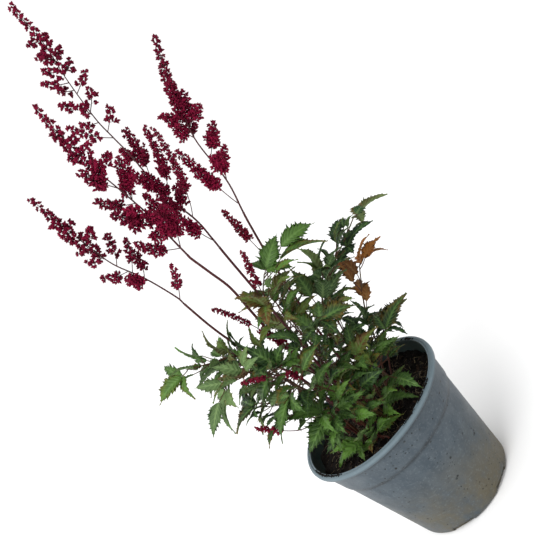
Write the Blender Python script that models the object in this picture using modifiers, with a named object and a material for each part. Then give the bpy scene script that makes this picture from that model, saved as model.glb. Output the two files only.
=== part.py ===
"""Astilbe in a two-litre nursery pot, about 63 cm tall.

The pot stands on its flat base at the origin, +Z up. The soil lies inside it, and every
flower stalk, flowering shoot and leaf frond rises from a plain hole in the soil. Places
in the tables are millimetres in the pot's frame; meshes are made in metres.
"""

import math
import random
from collections import namedtuple

import bmesh
import bpy
import numpy as np
from mathutils import Quaternion, Vector

MM = 0.001
GAP = 0.3

# The pot
POT_HEIGHT = 139.0
RIM_RADIUS = 85.0
RIM_INNER_RADIUS = 79.0
LIP_HEIGHT = 5.0
NECK_RADIUS = 81.0
COLLAR_HEIGHT = 33.0
COLLAR_RADIUS = 76.0
COLLAR_STEP = 1.3
BASE_RADIUS = 58.5
BASE_ROUNDING = 4.0
WALL = 2.0
POT_SIDES = 24
NOTCHES = 6
NOTCH_WIDTH = 25.0
NOTCH_HEIGHT = 5.5
NOTCH_DEPTH = 9.0
FIRST_NOTCH_DEGREES = -57.0

# The soil
SOIL_TOP = 125.0
SOIL_RELIEF = 1.6
SOIL_RINGS = 3
FOOT_DEPTH = 14.0
HOLE_SIDES = 4
HOLE_MOUTH = 3.0
HOLE_TURN = 0.35

# Leaflets
RIB_THICKNESS = 1.4
BLADE_FOLD = 0.22
BLADE_ARCH = 0.09
BLADE_WIDEST = 0.33
BLADE_POWERS = (0.75, 1.52)
BLADE_WIDTHS = (0.25, 0.31)
BLADE_LEAN = 34.0
BLADE_FACE = 0.7
VALLEY = 0.66
TOOTH_REACH = 1.12
LARGE_BLADE = 45.0
LEAST_STALK = 0.14
SIDE_LEAFLET = 0.7
SIDE_WIDTHS = (0.27, 0.33)
SIDE_LEAN = 16.0
SIDE_ANGLE = 72.0
SIDE_FOOT = 3.0
SHRINKS = (1.0, 0.85, 0.7, 0.6)
SWINGS = (0, 14, -14, 28, -28, 42, -42)
DIPS = (0, -16, 16, -32, 32)
LEAF_CLEARANCE = 3.5
OWN_CLEARANCE = 2.6
STALK_CLEARANCE = 2.6
RIM_CLEARANCE = 3.0
ROOM_SPACING = 4.0
BLADE_STEP = 5.5
STALK_STEP = 3.0
LEAF_STALK_RADIUS = 0.6
ROOT_SINK = 0.4
FROND_RADII = (1.3, 0.7)
STEM_SPACING = 30.0

# Florets
BUD_SPACING = 10.2
BUD_LENGTH = 1.4
BUD_SPREAD = 1.42
BUD_LEAN = 0.85
BUD_CORE = 0.46
SPRAY_RADIUS = 0.6
SPRAY_TAPER = 0.8
SPRAY_BARE = 0.3
SPRAY_BEND = (0.66, 0.36)
SPRAY_STEP = 13.0
REACH_DROP = 0.42
MOST_BUD = 0.75
FILLER_DEGREES = 38.0
FILLER_MARGINS = (20.0, 25.0)
FILLER_WAY = (0.72, 0.7)
FILLER_REACH = (5.6, 4.0)
SPRAY_SIDES = 3
BUD_TWIST = 47.0
CROWN = 78.0
CROWN_REACH = 5.0
CROWN_TAPER = (0.75, 0.8)
SHOOT_RADII = (1.1, 0.6)
SOLVER = "MANIFOLD"
FUSE_TRIES = 24
NUDGE = 0.03
SPECK = 0.012
SLIVER = 0.0006

# A flower stalk: its route from the soil to the tip, the height where its plume starts, its
# radii at the foot and at the tip, the reach of its lowest and highest added sprays, and the
# sprays that show. A spray is the height where it leaves the stalk, its tip, and the reach
# of its lowest buds.
Stalk = namedtuple("Stalk", "route plume_from radii fillers reach sprays")
STALKS = {
    "stalk_rear": Stalk(
        route=[(-4, 20, 111), (-3, 22, 180), (8, 27, 251), (21, 34, 331), (29, 40, 380), (28, 44, 420),
               (35, 47, 462), (40, 50, 510), (50, 53, 551), (61, 57, 586), (67, 60, 628)],
        plume_from=346, radii=(1.7, 0.7), fillers=4, reach=(34, 12),
        sprays=[
            (353, (19, 10, 418), 5.0), (382, (70, 104, 461), 3.8), (412, (62, 17, 474), 4.6),
            (390, (24, 19, 421), 5.4), (404, (31, 27, 446), 5.8), (420, (24, 22, 456), 5.0),
            (436, (50, 68, 482), 6.2), (486, (18, 32, 523), 3.8), (505, (26, 58, 516), 3.8),
            (495, (58, 58, 507), 5.2), (518, (58, 42, 530), 5.8), (525, (27, 42, 541), 4.2),
            (539, (37, 62, 552), 4.0), (537, (68, 59, 544), 4.2), (547, (33, 44, 564), 4.0),
            (558, (41, 61, 573), 3.8), (571, (48, 46, 582), 4.2), (554, (65, 60, 560), 4.6),
            (568, (67, 48, 574), 4.2), (590, (52, 60, 596), 3.6), (582, (68, 64, 592), 3.6)]),
    "stalk_front": Stalk(
        route=[(-10, -6, 111), (-8, -6, 190), (-5, -8, 270), (3, -13, 325), (1, -22, 372), (7, -29, 425),
               (8, -37, 485), (11, -41, 523), (15, -45, 552)],
        plume_from=376, radii=(1.6, 0.7), fillers=4, reach=(30, 12),
        sprays=[
            (384, (-21, -19, 416), 5.2), (386, (20, -36, 421), 5.6), (408, (-7, -36, 412), 4.6),
            (392, (10, -50, 428), 5.6), (400, (18, -14, 437), 5.6),
            (416, (-11, -44, 450), 6.4), (440, (-14, -21, 466), 4.6), (436, (-2, -50, 444), 5.0),
            (443, (26, -15, 475), 6.6), (462, (-2, -49, 492), 5.8), (482, (25, -30, 484), 5.0),
            (500, (21, -45, 502), 4.0), (500, (0, -34, 506), 4.0), (512, (18, -37, 517), 3.6),
            (523, (5, -43, 527), 3.4)]),
    "stalk_left": Stalk(
        route=[(-20, 10, 111), (-22, 12, 206), (-34, 12, 258), (-38, 13, 310), (-37, 13, 352), (-42, 14, 385),
               (-50, 14, 415), (-52, 15, 470), (-51, 15, 508)],
        plume_from=341, radii=(1.5, 0.6), fillers=3, reach=(24, 10),
        sprays=[
            (348, (-17, 6, 376), 3.8), (385, (-52, 4, 399), 5.6), (383, (-31, 34, 408), 4.4),
            (399, (-68, 25, 413), 4.2), (397, (-26, 20, 421), 3.4), (411, (-34, 30, 436), 5.2),
            (425, (-63, 7, 434), 4.6), (442, (-63, 20, 444), 4.2), (445, (-37, 6, 452), 5.0),
            (456, (-60, 20, 460), 4.0), (465, (-43, 21, 468), 3.8), (474, (-58, 8, 480), 3.4)]),
    "stalk_right": Stalk(
        route=[(8, 12, 111), (22, 14, 211), (34, 13, 261), (45, 12, 302), (60, 10, 348), (75, 9, 387),
               (83, 7, 430), (93, 7, 455), (104, 6, 480), (128, 5, 518)],
        plume_from=356, radii=(1.5, 0.6), fillers=3, reach=(30, 12),
        sprays=[
            (363, (65, 26, 436), 6.0), (387, (86, -3, 412), 5.0), (398, (98, 14, 408), 4.2),
            (413, (106, 18, 430), 6.8), (436, (80, 17, 454), 6.6), (446, (108, 0, 450), 5.6),
            (449, (79, -4, 470), 5.2), (452, (107, 14, 470), 6.6)]),
}

# A flowering shoot among the leaves: route, the share of it that is bare, and bud reach.
Shoot = namedtuple("Shoot", "route bare reach")
SHOOTS = {
    "shoot_top": Shoot([(2, 0, 111), (8, 0, 200), (16, -2, 270), (30, -3, 298), (44, -2, 314), (48, 0, 340),
                        (52, 0, 374)], 0.86, 5.0),
    "shoot_left": Shoot([(-6, -20, 111), (-3, -20, 200), (-6, -18, 262), (-13, -16, 298), (-22, -15, 325)],
                        0.64, 4.8),
    "shoot_front": Shoot([(-14, -26, 111), (-18, -36, 170), (-18, -50, 215), (-18, -62, 242),
                          (-30, -65, 257), (-51, -66, 275)], 0.7, 4.8),
    "shoot_low": Shoot([(-24, -24, 111), (-26, -48, 165), (-34, -58, 190), (-55, -60, 205), (-76, -60, 236)],
                       0.84, 4.4),
    "shoot_pink": Shoot([(0, -14, 111), (4, -22, 200), (12, -26, 280), (22, -27, 312), (35, -30, 342)],
                        0.84, 4.4),
}

# A frond: the route of its stem, and its leaflets. A leaflet is the share of the stem where
# its stalk leaves, its tip, the length of its blade and whether it carries a side pair.
Frond = namedtuple("Frond", "route leaflets")
FRONDS = {
    "frond_top_right": Frond(
        [(22, 6, 111), (30, 12, 180), (49, 18, 238), (78, 20, 252), (105, 22, 259), (130, 24, 267)],
        [(1.0, (169, 26, 258), 38, True), (0.78, (137, 5, 260), 34, True), (0.8, (121, 42, 274), 27, False),
         (0.66, (118, 0, 276), 27, False), (0.6, (93, 30, 275), 31, False),
         (0.53, (75, 4, 268), 38, True)]),
    "frond_brown": Frond(
        [(26, 16, 111), (48, 34, 150), (70, 45, 185), (85, 50, 202), (101, 54, 219)],
        [(1.0, (129, 50, 238), 29, True), (0.98, (138, 66, 222), 29, False),
         (0.85, (104, 36, 246), 32, False),
         (0.8, (90, 62, 243), 32, False), (0.66, (92, 26, 212), 25, False),
         (0.72, (92, 78, 204), 27, False)]),
    "frond_top": Frond(
        [(6, -10, 111), (4, -12, 190), (10, -15, 263), (17, -20, 296), (32, -26, 312)],
        [(1.0, (68, -16, 326), 41, True), (0.97, (95, -42, 318), 45, False),
         (0.86, (56, -12, 292), 34, False),
         (0.94, (30, -50, 332), 28, False), (0.82, (4, -50, 326), 41, True)]),
    "frond_middle": Frond(
        [(14, -12, 111), (22, -10, 180), (32, -8, 231), (56, 2, 250), (68, 8, 258)],
        [(1.0, (73, 4, 297), 38, True), (0.95, (92, -12, 262), 32, False),
         (0.85, (66, -22, 268), 34, False),
         (0.78, (53, 18, 284), 34, False)]),
    "frond_centre": Frond(
        [(2, -26, 111), (-2, -36, 208), (15, -42, 234), (30, -47, 252)],
        [(1.0, (67, -52, 238), 47, True), (0.92, (18, -30, 275), 32, False),
         (0.96, (18, -74, 268), 36, True),
         (0.78, (-2, -62, 285), 38, False)]),
    "frond_heart": Frond(
        [(35, -20, 111), (36, -27, 150), (30, -38, 185), (27, -44, 200)],
        [(1.0, (62, -52, 210), 38, True), (0.96, (34, -66, 232), 36, True),
         (0.9, (2, -62, 200), 32, False)]),
    "frond_right": Frond(
        [(30, -4, 111), (36, -5, 150), (46, -7, 168), (62, -12, 180)],
        [(1.0, (107, -5, 187), 47, True), (0.96, (103, -20, 196), 41, False),
         (0.94, (58, -27, 162), 29, False)]),
    "frond_dark": Frond(
        [(18, 20, 111), (30, 24, 150), (48, 27, 168), (60, 30, 178)],
        [(1.0, (78, 18, 186), 27, False), (0.98, (76, 44, 202), 32, True),
         (0.85, (44, 24, 198), 27, False)]),
    "frond_left": Frond(
        [(-28, 0, 111), (-30, -4, 200), (-33, -8, 253), (-42, -11, 277), (-62, -15, 293), (-78, -18, 306)],
        [(1.0, (-121, -15, 306), 34, True), (0.95, (-92, -30, 320), 27, False),
         (0.9, (-84, -2, 286), 29, False),
         (0.86, (-72, -8, 326), 27, False), (0.78, (-47, -25, 321), 36, True)]),
    "frond_left_pale": Frond(
        [(-24, -16, 111), (-24, -30, 190), (-28, -38, 240), (-42, -47, 270), (-63, -55, 281)],
        [(1.0, (-96, -55, 249), 45, True), (0.96, (-106, -66, 268), 43, False),
         (0.88, (-78, -74, 292), 34, False),
         (0.82, (-60, -44, 300), 29, False)]),
    "frond_front_left": Frond(
        [(-4, -34, 111), (-4, -42, 180), (-7, -47, 225), (-15, -54, 250), (-30, -58, 260)],
        [(1.0, (-62, -66, 240), 47, True), (0.92, (-2, -66, 270), 36, False),
         (0.9, (-36, -58, 290), 34, True)]),
    "frond_front_tall": Frond(
        [(6, -38, 111), (2, -48, 160), (-8, -58, 205), (-17, -70, 232), (-28, -77, 241)],
        [(1.0, (-68, -90, 222), 50, True), (0.93, (-40, -92, 254), 32, False),
         (0.8, (14, -82, 232), 34, False)]),
    "frond_front_low": Frond(
        [(-12, -44, 111), (-13, -50, 160), (-17, -58, 185), (-25, -68, 197)],
        [(1.0, (-47, -84, 230), 45, True), (0.95, (-60, -86, 204), 45, False),
         (0.85, (-42, -80, 172), 41, True)]),
    "frond_front_short": Frond(
        [(14, -30, 111), (12, -36, 145), (7, -40, 161), (-2, -41, 170)],
        [(1.0, (-16, -66, 146), 38, True), (0.9, (28, -46, 190), 41, False),
         (0.95, (0, -70, 206), 43, False)]),
    "frond_soil_left": Frond(
        [(-8, -52, 111), (-14, -46, 132), (-22, -38, 140)],
        [(1.0, (-62, -24, 132), 45, True)]),
    "frond_soil_right": Frond(
        [(20, -18, 111), (19, -24, 132), (14, -28, 141)],
        [(1.0, (22, -62, 134), 38, True), (0.92, (44, -42, 137), 34, False)]),
    "frond_rear": Frond(
        [(0, 34, 111), (4, 44, 180), (14, 60, 235), (18, 76, 262)],
        [(1.0, (16, 116, 264), 43, True), (0.95, (48, 98, 272), 41, False),
         (0.92, (-14, 90, 276), 38, False)]),
    "frond_rear_left": Frond(
        [(-18, 28, 111), (-30, 42, 180), (-44, 56, 225), (-58, 66, 248)],
        [(1.0, (-98, 82, 262), 43, True), (0.95, (-66, 104, 252), 41, False),
         (0.9, (-82, 50, 276), 34, False)]),
    "frond_rear_right": Frond(
        [(18, 34, 111), (34, 52, 170), (50, 66, 205), (66, 78, 222)],
        [(1.0, (106, 92, 222), 43, True), (0.95, (78, 112, 236), 38, False),
         (0.9, (92, 62, 250), 32, False)]),
    "frond_left_low": Frond(
        [(-34, 18, 111), (-46, 24, 165), (-58, 28, 198), (-70, 30, 216)],
        [(1.0, (-106, 28, 214), 41, True), (0.93, (-92, 56, 234), 36, False),
         (0.9, (-84, 2, 226), 34, False)]),
    "frond_rear_low": Frond(
        [(6, 50, 111), (6, 62, 148), (8, 76, 168)],
        [(1.0, (6, 114, 172), 41, True), (0.93, (40, 94, 186), 38, False),
         (0.9, (-28, 92, 184), 38, False)]),
    "frond_right_low": Frond(
        [(38, 20, 111), (54, 30, 146), (70, 38, 164)],
        [(1.0, (108, 46, 162), 41, True), (0.9, (90, 70, 178), 36, False)]),
}

Blade = namedtuple("Blade", "foot along across normal length half_width teeth")
Leaflet = namedtuple("Leaflet", "root blade sides")
Spray = namedtuple("Spray", "line radii bare reach")

COLOURS = {
    "pot": ((0.095, 0.125, 0.150, 1.0), 0.45),
    "soil": ((0.018, 0.012, 0.009, 1.0), 0.95),
    "stem": ((0.075, 0.018, 0.016, 1.0), 0.50),
    "plume": ((0.180, 0.004, 0.030, 1.0), 0.60),
    "leaf": ((0.060, 0.130, 0.025, 1.0), 0.55),
    "bronze": ((0.180, 0.075, 0.020, 1.0), 0.60),
}


# ---------------------------------------------------------------- where everything grows

def curve_through(controls, spacing):
    """Points about spacing apart on the smooth (Catmull-Rom) curve through the controls."""
    knots = [Vector(point) for point in controls]
    knots.insert(0, 2 * knots[0] - knots[1])
    knots.append(2 * knots[-1] - knots[-2])
    points = []
    for before, start, end, after in zip(knots, knots[1:], knots[2:], knots[3:]):
        steps = max(1, round((end - start).length / spacing))
        for step in range(steps):
            t = step / steps
            points.append(0.5 * (2 * start + (end - before) * t
                                 + (2 * before - 5 * start + 4 * end - after) * t ** 2
                                 + (3 * start - before - 3 * end + after) * t ** 3))
    points.append(knots[-2])
    return points


def rooted(route, spacing):
    """A stem's points: straight up out of its hole in the soil, then on along its route."""
    foot = Vector(route[0])
    mouth = Vector((foot.x, foot.y, SOIL_TOP + HOLE_MOUTH))
    return [foot] + curve_through([mouth] + route[1:], spacing)


def filled(points, spacing):
    """A line's points with more between them, no further apart than the spacing."""
    places = []
    for a, b in zip(points, points[1:]):
        steps = math.ceil((b - a).length / spacing)
        places += [a.lerp(b, step / steps) for step in range(steps)]
    return places + [points[-1]]


def at_share(points, share):
    """The place at a share of the way along a line of points."""
    lengths = [(b - a).length for a, b in zip(points, points[1:])]
    left = share * sum(lengths)
    for a, b, length in zip(points, points[1:], lengths):
        if left <= length:
            return a.lerp(b, left / length)
        left -= length
    return points[-1].copy()


def at_height(points, height):
    """The place where a rising line of points passes a height."""
    for a, b in zip(points, points[1:]):
        if a.z <= height <= b.z:
            return a.lerp(b, (height - a.z) / (b.z - a.z))
    return points[-1].copy()


def between(ends, share):
    """The value at a share of the way from one end to the other."""
    return ends[0] + (ends[1] - ends[0]) * share


def spray_route(foot, tip):
    """A side spray leaves its stalk outwards and bends up to its tip."""
    reach = tip - foot
    out, up = SPRAY_BEND
    bend = foot + Vector((out * reach.x, out * reach.y, up * reach.z))
    steps = max(2, round(reach.length / SPRAY_STEP))
    return [foot.lerp(bend, t).lerp(bend.lerp(tip, t), t) for t in (i / steps for i in range(steps + 1))]


class Room:
    """What has been placed so far, which later pieces of other plants' parts keep clear of."""

    def __init__(self):
        self.points = np.empty((0, 3))
        self.radii = np.empty(0)
        self.owners = np.empty(0, dtype=str)
        self.parts = np.empty(0, dtype=int)

    def add(self, owner, points, radius, part=-1):
        """Take up the room within a radius of these points, for a numbered part of an owner."""
        count = len(points)
        self.points = np.vstack([self.points, np.array([tuple(p) for p in points])])
        self.radii = np.append(self.radii, [radius] * count)
        self.owners = np.append(self.owners, [owner] * count)
        self.parts = np.append(self.parts, [part] * count)

    def clearance(self, owner, points, part=None):
        """The least distance to what other owners hold, or to an owner's other numbered parts."""
        mine = self.owners == owner
        others = ~mine if part is None else mine & (self.parts != part) & (self.parts >= 0)
        if not others.any():
            return math.inf
        places = np.array([tuple(p) for p in points])
        away = np.sqrt(((places[:, None] - self.points[others][None]) ** 2).sum(axis=2))
        return float((away - self.radii[others]).min())


def filler_sprays(stalk, axis, rng):
    """Shorter sprays towards the front and the back, so that the plume is full all round."""
    low = stalk.plume_from + FILLER_MARGINS[0]
    high = stalk.route[-1][2] - FILLER_MARGINS[1]
    for index in range(stalk.fillers):
        share = (index + 0.5) / stalk.fillers
        foot = at_height(axis, between((low, high), share))
        side = 90 if index % 2 else -90
        angle = math.radians(side + rng.uniform(-FILLER_DEGREES, FILLER_DEGREES))
        out, up = FILLER_WAY
        way = Vector((out * math.cos(angle), out * math.sin(angle), up))
        yield foot, foot + between(stalk.reach, share) * way, between(FILLER_REACH, share)


def grow_plume(name, stalk, axis, room):
    """The upper stalk and the side sprays of one plume, the upper stalk first."""
    rng = random.Random(name)
    upper = [p for p in axis if p.z > stalk.plume_from + 2]
    upper.insert(0, at_height(axis, stalk.plume_from + GAP))
    length = sum((b - a).length for a, b in zip(upper, upper[1:]))
    radii = (stalk.radii[0] * CROWN_TAPER[0], stalk.radii[1] * CROWN_TAPER[1])
    sprays = [Spray(upper, radii, 1 - CROWN / length, CROWN_REACH)]
    places = [(at_height(axis, height), Vector(tip), reach) for height, tip, reach in stalk.sprays]
    for foot, tip, reach in places + list(filler_sprays(stalk, axis, rng)):
        line = spray_route(foot, tip)
        if room.clearance(name, line[1:]) > reach + 1:
            sprays.append(Spray(line, (SPRAY_RADIUS, SPRAY_TAPER * SPRAY_RADIUS), SPRAY_BARE, reach))
    for spray in sprays:
        room.add(name, filled(spray.line, ROOM_SPACING), spray.reach - 1)
    return sprays


def outline(share):
    """A leaflet's half width along its length, 1 at the widest: ovate, with a long point."""
    rise, fall = BLADE_POWERS
    return (share / BLADE_WIDEST) ** rise * ((1 - share) / (1 - BLADE_WIDEST)) ** fall


def on_blade(blade, share, side):
    """A place on a leaflet: share of its length, and side from -1 to 1 of its half width."""
    half = blade.half_width * outline(share)
    rise = 4 * BLADE_ARCH * blade.length * share * (1 - share) + BLADE_FOLD * abs(side) * half
    return (blade.foot + blade.along * (share * blade.length)
            + blade.across * (side * half) + blade.normal * rise)


def blade_between(foot, tip, lean, width):
    """A leaflet from its foot to its tip, its face turned up and outwards, rolled by lean."""
    along = (tip - foot).normalized()
    outwards = Vector((foot.x, foot.y, 0)).normalized()
    face = Vector((0, 0, 1)) + BLADE_FACE * outwards
    normal = (face - along * face.dot(along)).normalized()
    normal.rotate(Quaternion(along, math.radians(lean)))
    length = (tip - foot).length
    teeth = 4 if length > LARGE_BLADE else 3
    return Blade(foot, along, normal.cross(along), normal, length, width * length, teeth)


def blade_room(blade):
    """Places spread over a leaflet, close enough together to test its clearance."""
    steps = max(4, round(blade.length / BLADE_STEP))
    return [on_blade(blade, (step + 0.4) / steps, side)
            for step in range(steps) for side in (-0.9, -0.45, 0, 0.45, 0.9)]


def stalk_room(root, foot):
    """Places along a leaflet's stalk, clear of the stem that carries it."""
    steps = int((foot - root).length / STALK_STEP)
    return [root.lerp(foot, step / steps) for step in range(2, steps)]


def fit_blade(owner, part, root, foot, tip, width, lean, room):
    """A leaflet like the one asked for that keeps clear of the others, or None."""
    stalk = stalk_room(root, foot)
    if stalk and room.clearance(owner, stalk) < STALK_CLEARANCE:
        return None
    reach = tip - foot
    sideways = reach.cross(Vector((0, 0, 1))).normalized()
    for shrink in SHRINKS:
        for swing in SWINGS:
            for dip in DIPS:
                turned = reach.copy()
                turned.rotate(Quaternion((0, 0, 1), math.radians(swing)))
                turned.rotate(Quaternion(sideways, math.radians(dip)))
                blade = blade_between(foot, foot + turned * shrink, lean, width)
                places = blade_room(blade)
                if (above_pot(places) and room.clearance(owner, places) > LEAF_CLEARANCE
                        and room.clearance(owner, places, part) > OWN_CLEARANCE):
                    room.add(owner, places + stalk, 0, part)
                    return blade
    return None


def above_pot(places):
    """Whether a leaflet is clear of the soil and of the pot's rim."""
    for place in places:
        radius = math.hypot(place.x, place.y)
        floor = SOIL_TOP if radius < RIM_INNER_RADIUS - 5 else POT_HEIGHT
        if radius < RIM_RADIUS + RIM_CLEARANCE and place.z < floor + RIM_CLEARANCE:
            return False
    return True


def side_blade(owner, part, blade, side, rng, room):
    """The smaller leaflet on one side of a leaflet's foot, or None."""
    way = blade.along.copy()
    way.rotate(Quaternion(blade.normal, math.radians(side * SIDE_ANGLE * rng.uniform(0.92, 1.1))))
    foot = blade.foot - blade.along * (SIDE_FOOT / 2) + way * LEAF_STALK_RADIUS
    tip = foot + way * (SIDE_LEAFLET * blade.length * rng.uniform(0.9, 1.1))
    width = rng.uniform(*SIDE_WIDTHS)
    return fit_blade(owner, part, foot, foot, tip, width, rng.uniform(-SIDE_LEAN, SIDE_LEAN), room)


def grow_frond(name, frond, room):
    """A frond's stem and its leaflets."""
    rng = random.Random(name)
    stem = rooted(frond.route, STEM_SPACING)
    leaflets = []
    for part, (share, tip, length, paired) in enumerate(frond.leaflets):
        tip = Vector(tip)
        root = at_share(stem, share)
        reach = tip - root
        bare = max(reach.length - length, LEAST_STALK * reach.length)
        foot = root + reach * (bare / reach.length)
        width = rng.uniform(*BLADE_WIDTHS)
        blade = fit_blade(name, part, root, foot, tip, width, rng.uniform(-BLADE_LEAN, BLADE_LEAN), room)
        if blade is None:
            continue
        sides = {side: side_blade(name, part, blade, side, rng, room) for side in (-1, 1)} if paired else {}
        leaflets.append(Leaflet(root, blade, sides))
    return stem, leaflets


def grow():
    """Every stalk, plume, shoot and frond, placed clear of one another."""
    room = Room()
    axes = {name: rooted(stalk.route, STEM_SPACING) for name, stalk in STALKS.items()}
    for name in STALKS:
        room.add(name, filled(axes[name], ROOM_SPACING), 0)
    for name, stem in {**SHOOTS, **FRONDS}.items():
        room.add(name, filled(rooted(stem.route, STEM_SPACING), ROOM_SPACING), 0)
    plumes = {name: grow_plume(name, STALKS[name], axes[name], room) for name in STALKS}
    shoots = {name: Spray(rooted(shoot.route, STEM_SPACING), SHOOT_RADII, shoot.bare, shoot.reach)
              for name, shoot in SHOOTS.items()}
    for name, shoot in shoots.items():
        head = [at_share(shoot.line, shoot.bare + (1 - shoot.bare) * i / 8) for i in range(9)]
        room.add(name, head, shoot.reach - 1)
    fronds = {name: grow_frond(name, frond, room) for name, frond in FRONDS.items()}
    return axes, plumes, shoots, fronds


# ---------------------------------------------------------------- Blender helpers

def clear_scene():
    """Start from an empty scene."""
    for thing in list(bpy.data.objects):
        bpy.data.objects.remove(thing, do_unlink=True)


def new_collection(name):
    """A collection linked to the scene."""
    collection = bpy.data.collections.new(name)
    bpy.context.scene.collection.children.link(collection)
    return collection


def link_mesh(name, bm, collection):
    """A new object from a bmesh in millimetres, its faces pointing out."""
    bmesh.ops.recalc_face_normals(bm, faces=bm.faces)
    bmesh.ops.scale(bm, vec=(MM, MM, MM), verts=bm.verts)
    mesh = bpy.data.meshes.new(name)
    bm.to_mesh(mesh)
    bm.free()
    thing = bpy.data.objects.new(name, mesh)
    collection.objects.link(thing)
    return thing


def evaluated_mesh(thing):
    """The mesh of an object with its modifiers applied."""
    graph = bpy.context.evaluated_depsgraph_get()
    return bpy.data.meshes.new_from_object(thing.evaluated_get(graph))


def tube(name, points, radii, resolution, collection):
    """A round stem along points in millimetres, tapering from one radius to another."""
    curve = bpy.data.curves.new(name, "CURVE")
    curve.dimensions = "3D"
    curve.bevel_depth = MM
    curve.bevel_resolution = resolution
    curve.use_fill_caps = True
    spline = curve.splines.new("POLY")
    spline.points.add(len(points) - 1)
    last = len(points) - 1
    for index, (knot, point) in enumerate(zip(spline.points, points)):
        knot.co = (*(point * MM), 1)
        knot.radius = between(radii, index / last)
    guide = bpy.data.objects.new(name + "_curve", curve)
    collection.objects.link(guide)
    bpy.context.view_layer.update()
    mesh = evaluated_mesh(guide)
    bm = bmesh.new()
    bm.from_mesh(mesh)
    bmesh.ops.remove_doubles(bm, verts=bm.verts, dist=0.00001)
    bmesh.ops.recalc_face_normals(bm, faces=bm.faces)
    bm.to_mesh(mesh)
    bm.free()
    stem = bpy.data.objects.new(name, mesh)
    stem.matrix_world = guide.matrix_world
    collection.objects.link(stem)
    bpy.data.objects.remove(guide, do_unlink=True)
    return stem


def find_bodies(bm):
    """The faces of each body, which are joined edge to edge."""
    left = set(bm.faces)
    bodies = []
    while left:
        seed = left.pop()
        body, front = [seed], [seed]
        while front:
            for edge in front.pop().edges:
                for face in edge.link_faces:
                    if face in left:
                        left.discard(face)
                        body.append(face)
                        front.append(face)
        bodies.append(body)
    return bodies


def make_clean(mesh):
    """Keep a fused mesh's main body, clear its specks, and tell whether it is then sound.

    A sound mesh is one closed body of triangles, and none of them is a sliver.
    """
    bm = bmesh.new()
    bm.from_mesh(mesh)
    bodies = sorted(find_bodies(bm), key=len)
    scraps = [face for body in bodies[:-1] for face in body]
    bmesh.ops.delete(bm, geom=scraps, context="FACES")
    bmesh.ops.remove_doubles(bm, verts=bm.verts, dist=SPECK * MM)
    bmesh.ops.dissolve_degenerate(bm, edges=bm.edges, dist=SLIVER * MM)
    bmesh.ops.triangulate(bm, faces=bm.faces)
    bm.to_mesh(mesh)
    closed = all(len(edge.link_faces) == 2 for edge in bm.edges)
    heights = [2 * face.calc_area() / max(edge.calc_length() for edge in face.edges) for face in bm.faces]
    sound = closed and min(heights) > SLIVER * MM and len(find_bodies(bm)) == 1
    bm.free()
    return sound


def fuse(base, pieces):
    """Join pieces to the base in one closed body, and remove them.

    Pieces that just touch leave slivers or an open edge, so they shift by a hair till none does.
    """
    if not pieces:
        return base
    group = new_collection(base.name + "_pieces")
    for piece in pieces:
        group.objects.link(piece)
    union = base.modifiers.new("fuse", "BOOLEAN")
    union.operation = "UNION"
    union.operand_type = "COLLECTION"
    union.collection = group
    union.solver = SOLVER
    for attempt in range(FUSE_TRIES):
        for index, piece in enumerate(pieces):
            angle = attempt + index
            piece.location = Vector((math.cos(angle), math.sin(angle), 0)) * (attempt * NUDGE * MM)
        bpy.context.view_layer.update()
        joined = evaluated_mesh(base)
        if make_clean(joined):
            break
    base.modifiers.clear()
    base.data = joined
    for piece in pieces:
        bpy.data.objects.remove(piece, do_unlink=True)
    bpy.data.collections.remove(group)
    return base


def finish(thing, colour):
    """Give a node its material."""
    rgba, roughness = COLOURS[colour]
    material = bpy.data.materials.get(colour)
    if material is None:
        material = bpy.data.materials.new(colour)
        material.use_nodes = True
        shader = material.node_tree.nodes["Principled BSDF"]
        shader.inputs["Base Color"].default_value = rgba
        shader.inputs["Roughness"].default_value = roughness
        shader.inputs["Metallic"].default_value = 0.0
    thing.data.materials.clear()
    thing.data.materials.append(material)


# ---------------------------------------------------------------- the pot and the soil

def wall_radius(height):
    """Outer radius of the tapered wall under the lip."""
    collar_foot = POT_HEIGHT - COLLAR_HEIGHT
    if height >= collar_foot:
        return between((COLLAR_RADIUS, NECK_RADIUS), (height - collar_foot) / (COLLAR_HEIGHT - LIP_HEIGHT))
    share = (height - BASE_ROUNDING) / (collar_foot - BASE_ROUNDING)
    return between((BASE_RADIUS, COLLAR_RADIUS - COLLAR_STEP), share)


def inner_radius(height):
    """Inner radius of the pot's wall."""
    if height > POT_HEIGHT - LIP_HEIGHT:
        return RIM_INNER_RADIUS
    return min(wall_radius(height) - WALL, RIM_INNER_RADIUS)


def pot_profile():
    """Radius and height from the middle of the rim down the outside to the axis, and back inside."""
    collar_foot = POT_HEIGHT - COLLAR_HEIGHT
    lip_foot = POT_HEIGHT - LIP_HEIGHT
    outside = [
        (RIM_INNER_RADIUS + 1.2, POT_HEIGHT), (RIM_RADIUS - 1.4, POT_HEIGHT),
        (RIM_RADIUS, POT_HEIGHT - 1.5),
        (RIM_RADIUS, lip_foot + 0.8), (RIM_RADIUS - 0.9, lip_foot), (NECK_RADIUS, lip_foot),
        (COLLAR_RADIUS, collar_foot), (COLLAR_RADIUS - COLLAR_STEP, collar_foot - 0.8),
        (BASE_RADIUS, BASE_ROUNDING), (BASE_RADIUS - 1.2, 1.2), (BASE_RADIUS - 4.0, 0.0), (0.0, 0.0)]
    inside = [
        (0.0, WALL), (wall_radius(BASE_ROUNDING) - WALL - 1.5, WALL),
        (inner_radius(BASE_ROUNDING + 2), BASE_ROUNDING + 2),
        (inner_radius(collar_foot - 1), collar_foot - 1),
        (inner_radius(collar_foot), collar_foot), (inner_radius(lip_foot), lip_foot),
        (RIM_INNER_RADIUS, POT_HEIGHT - 1.2), (RIM_INNER_RADIUS + 1.2, POT_HEIGHT)]
    return outside, inside


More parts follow.
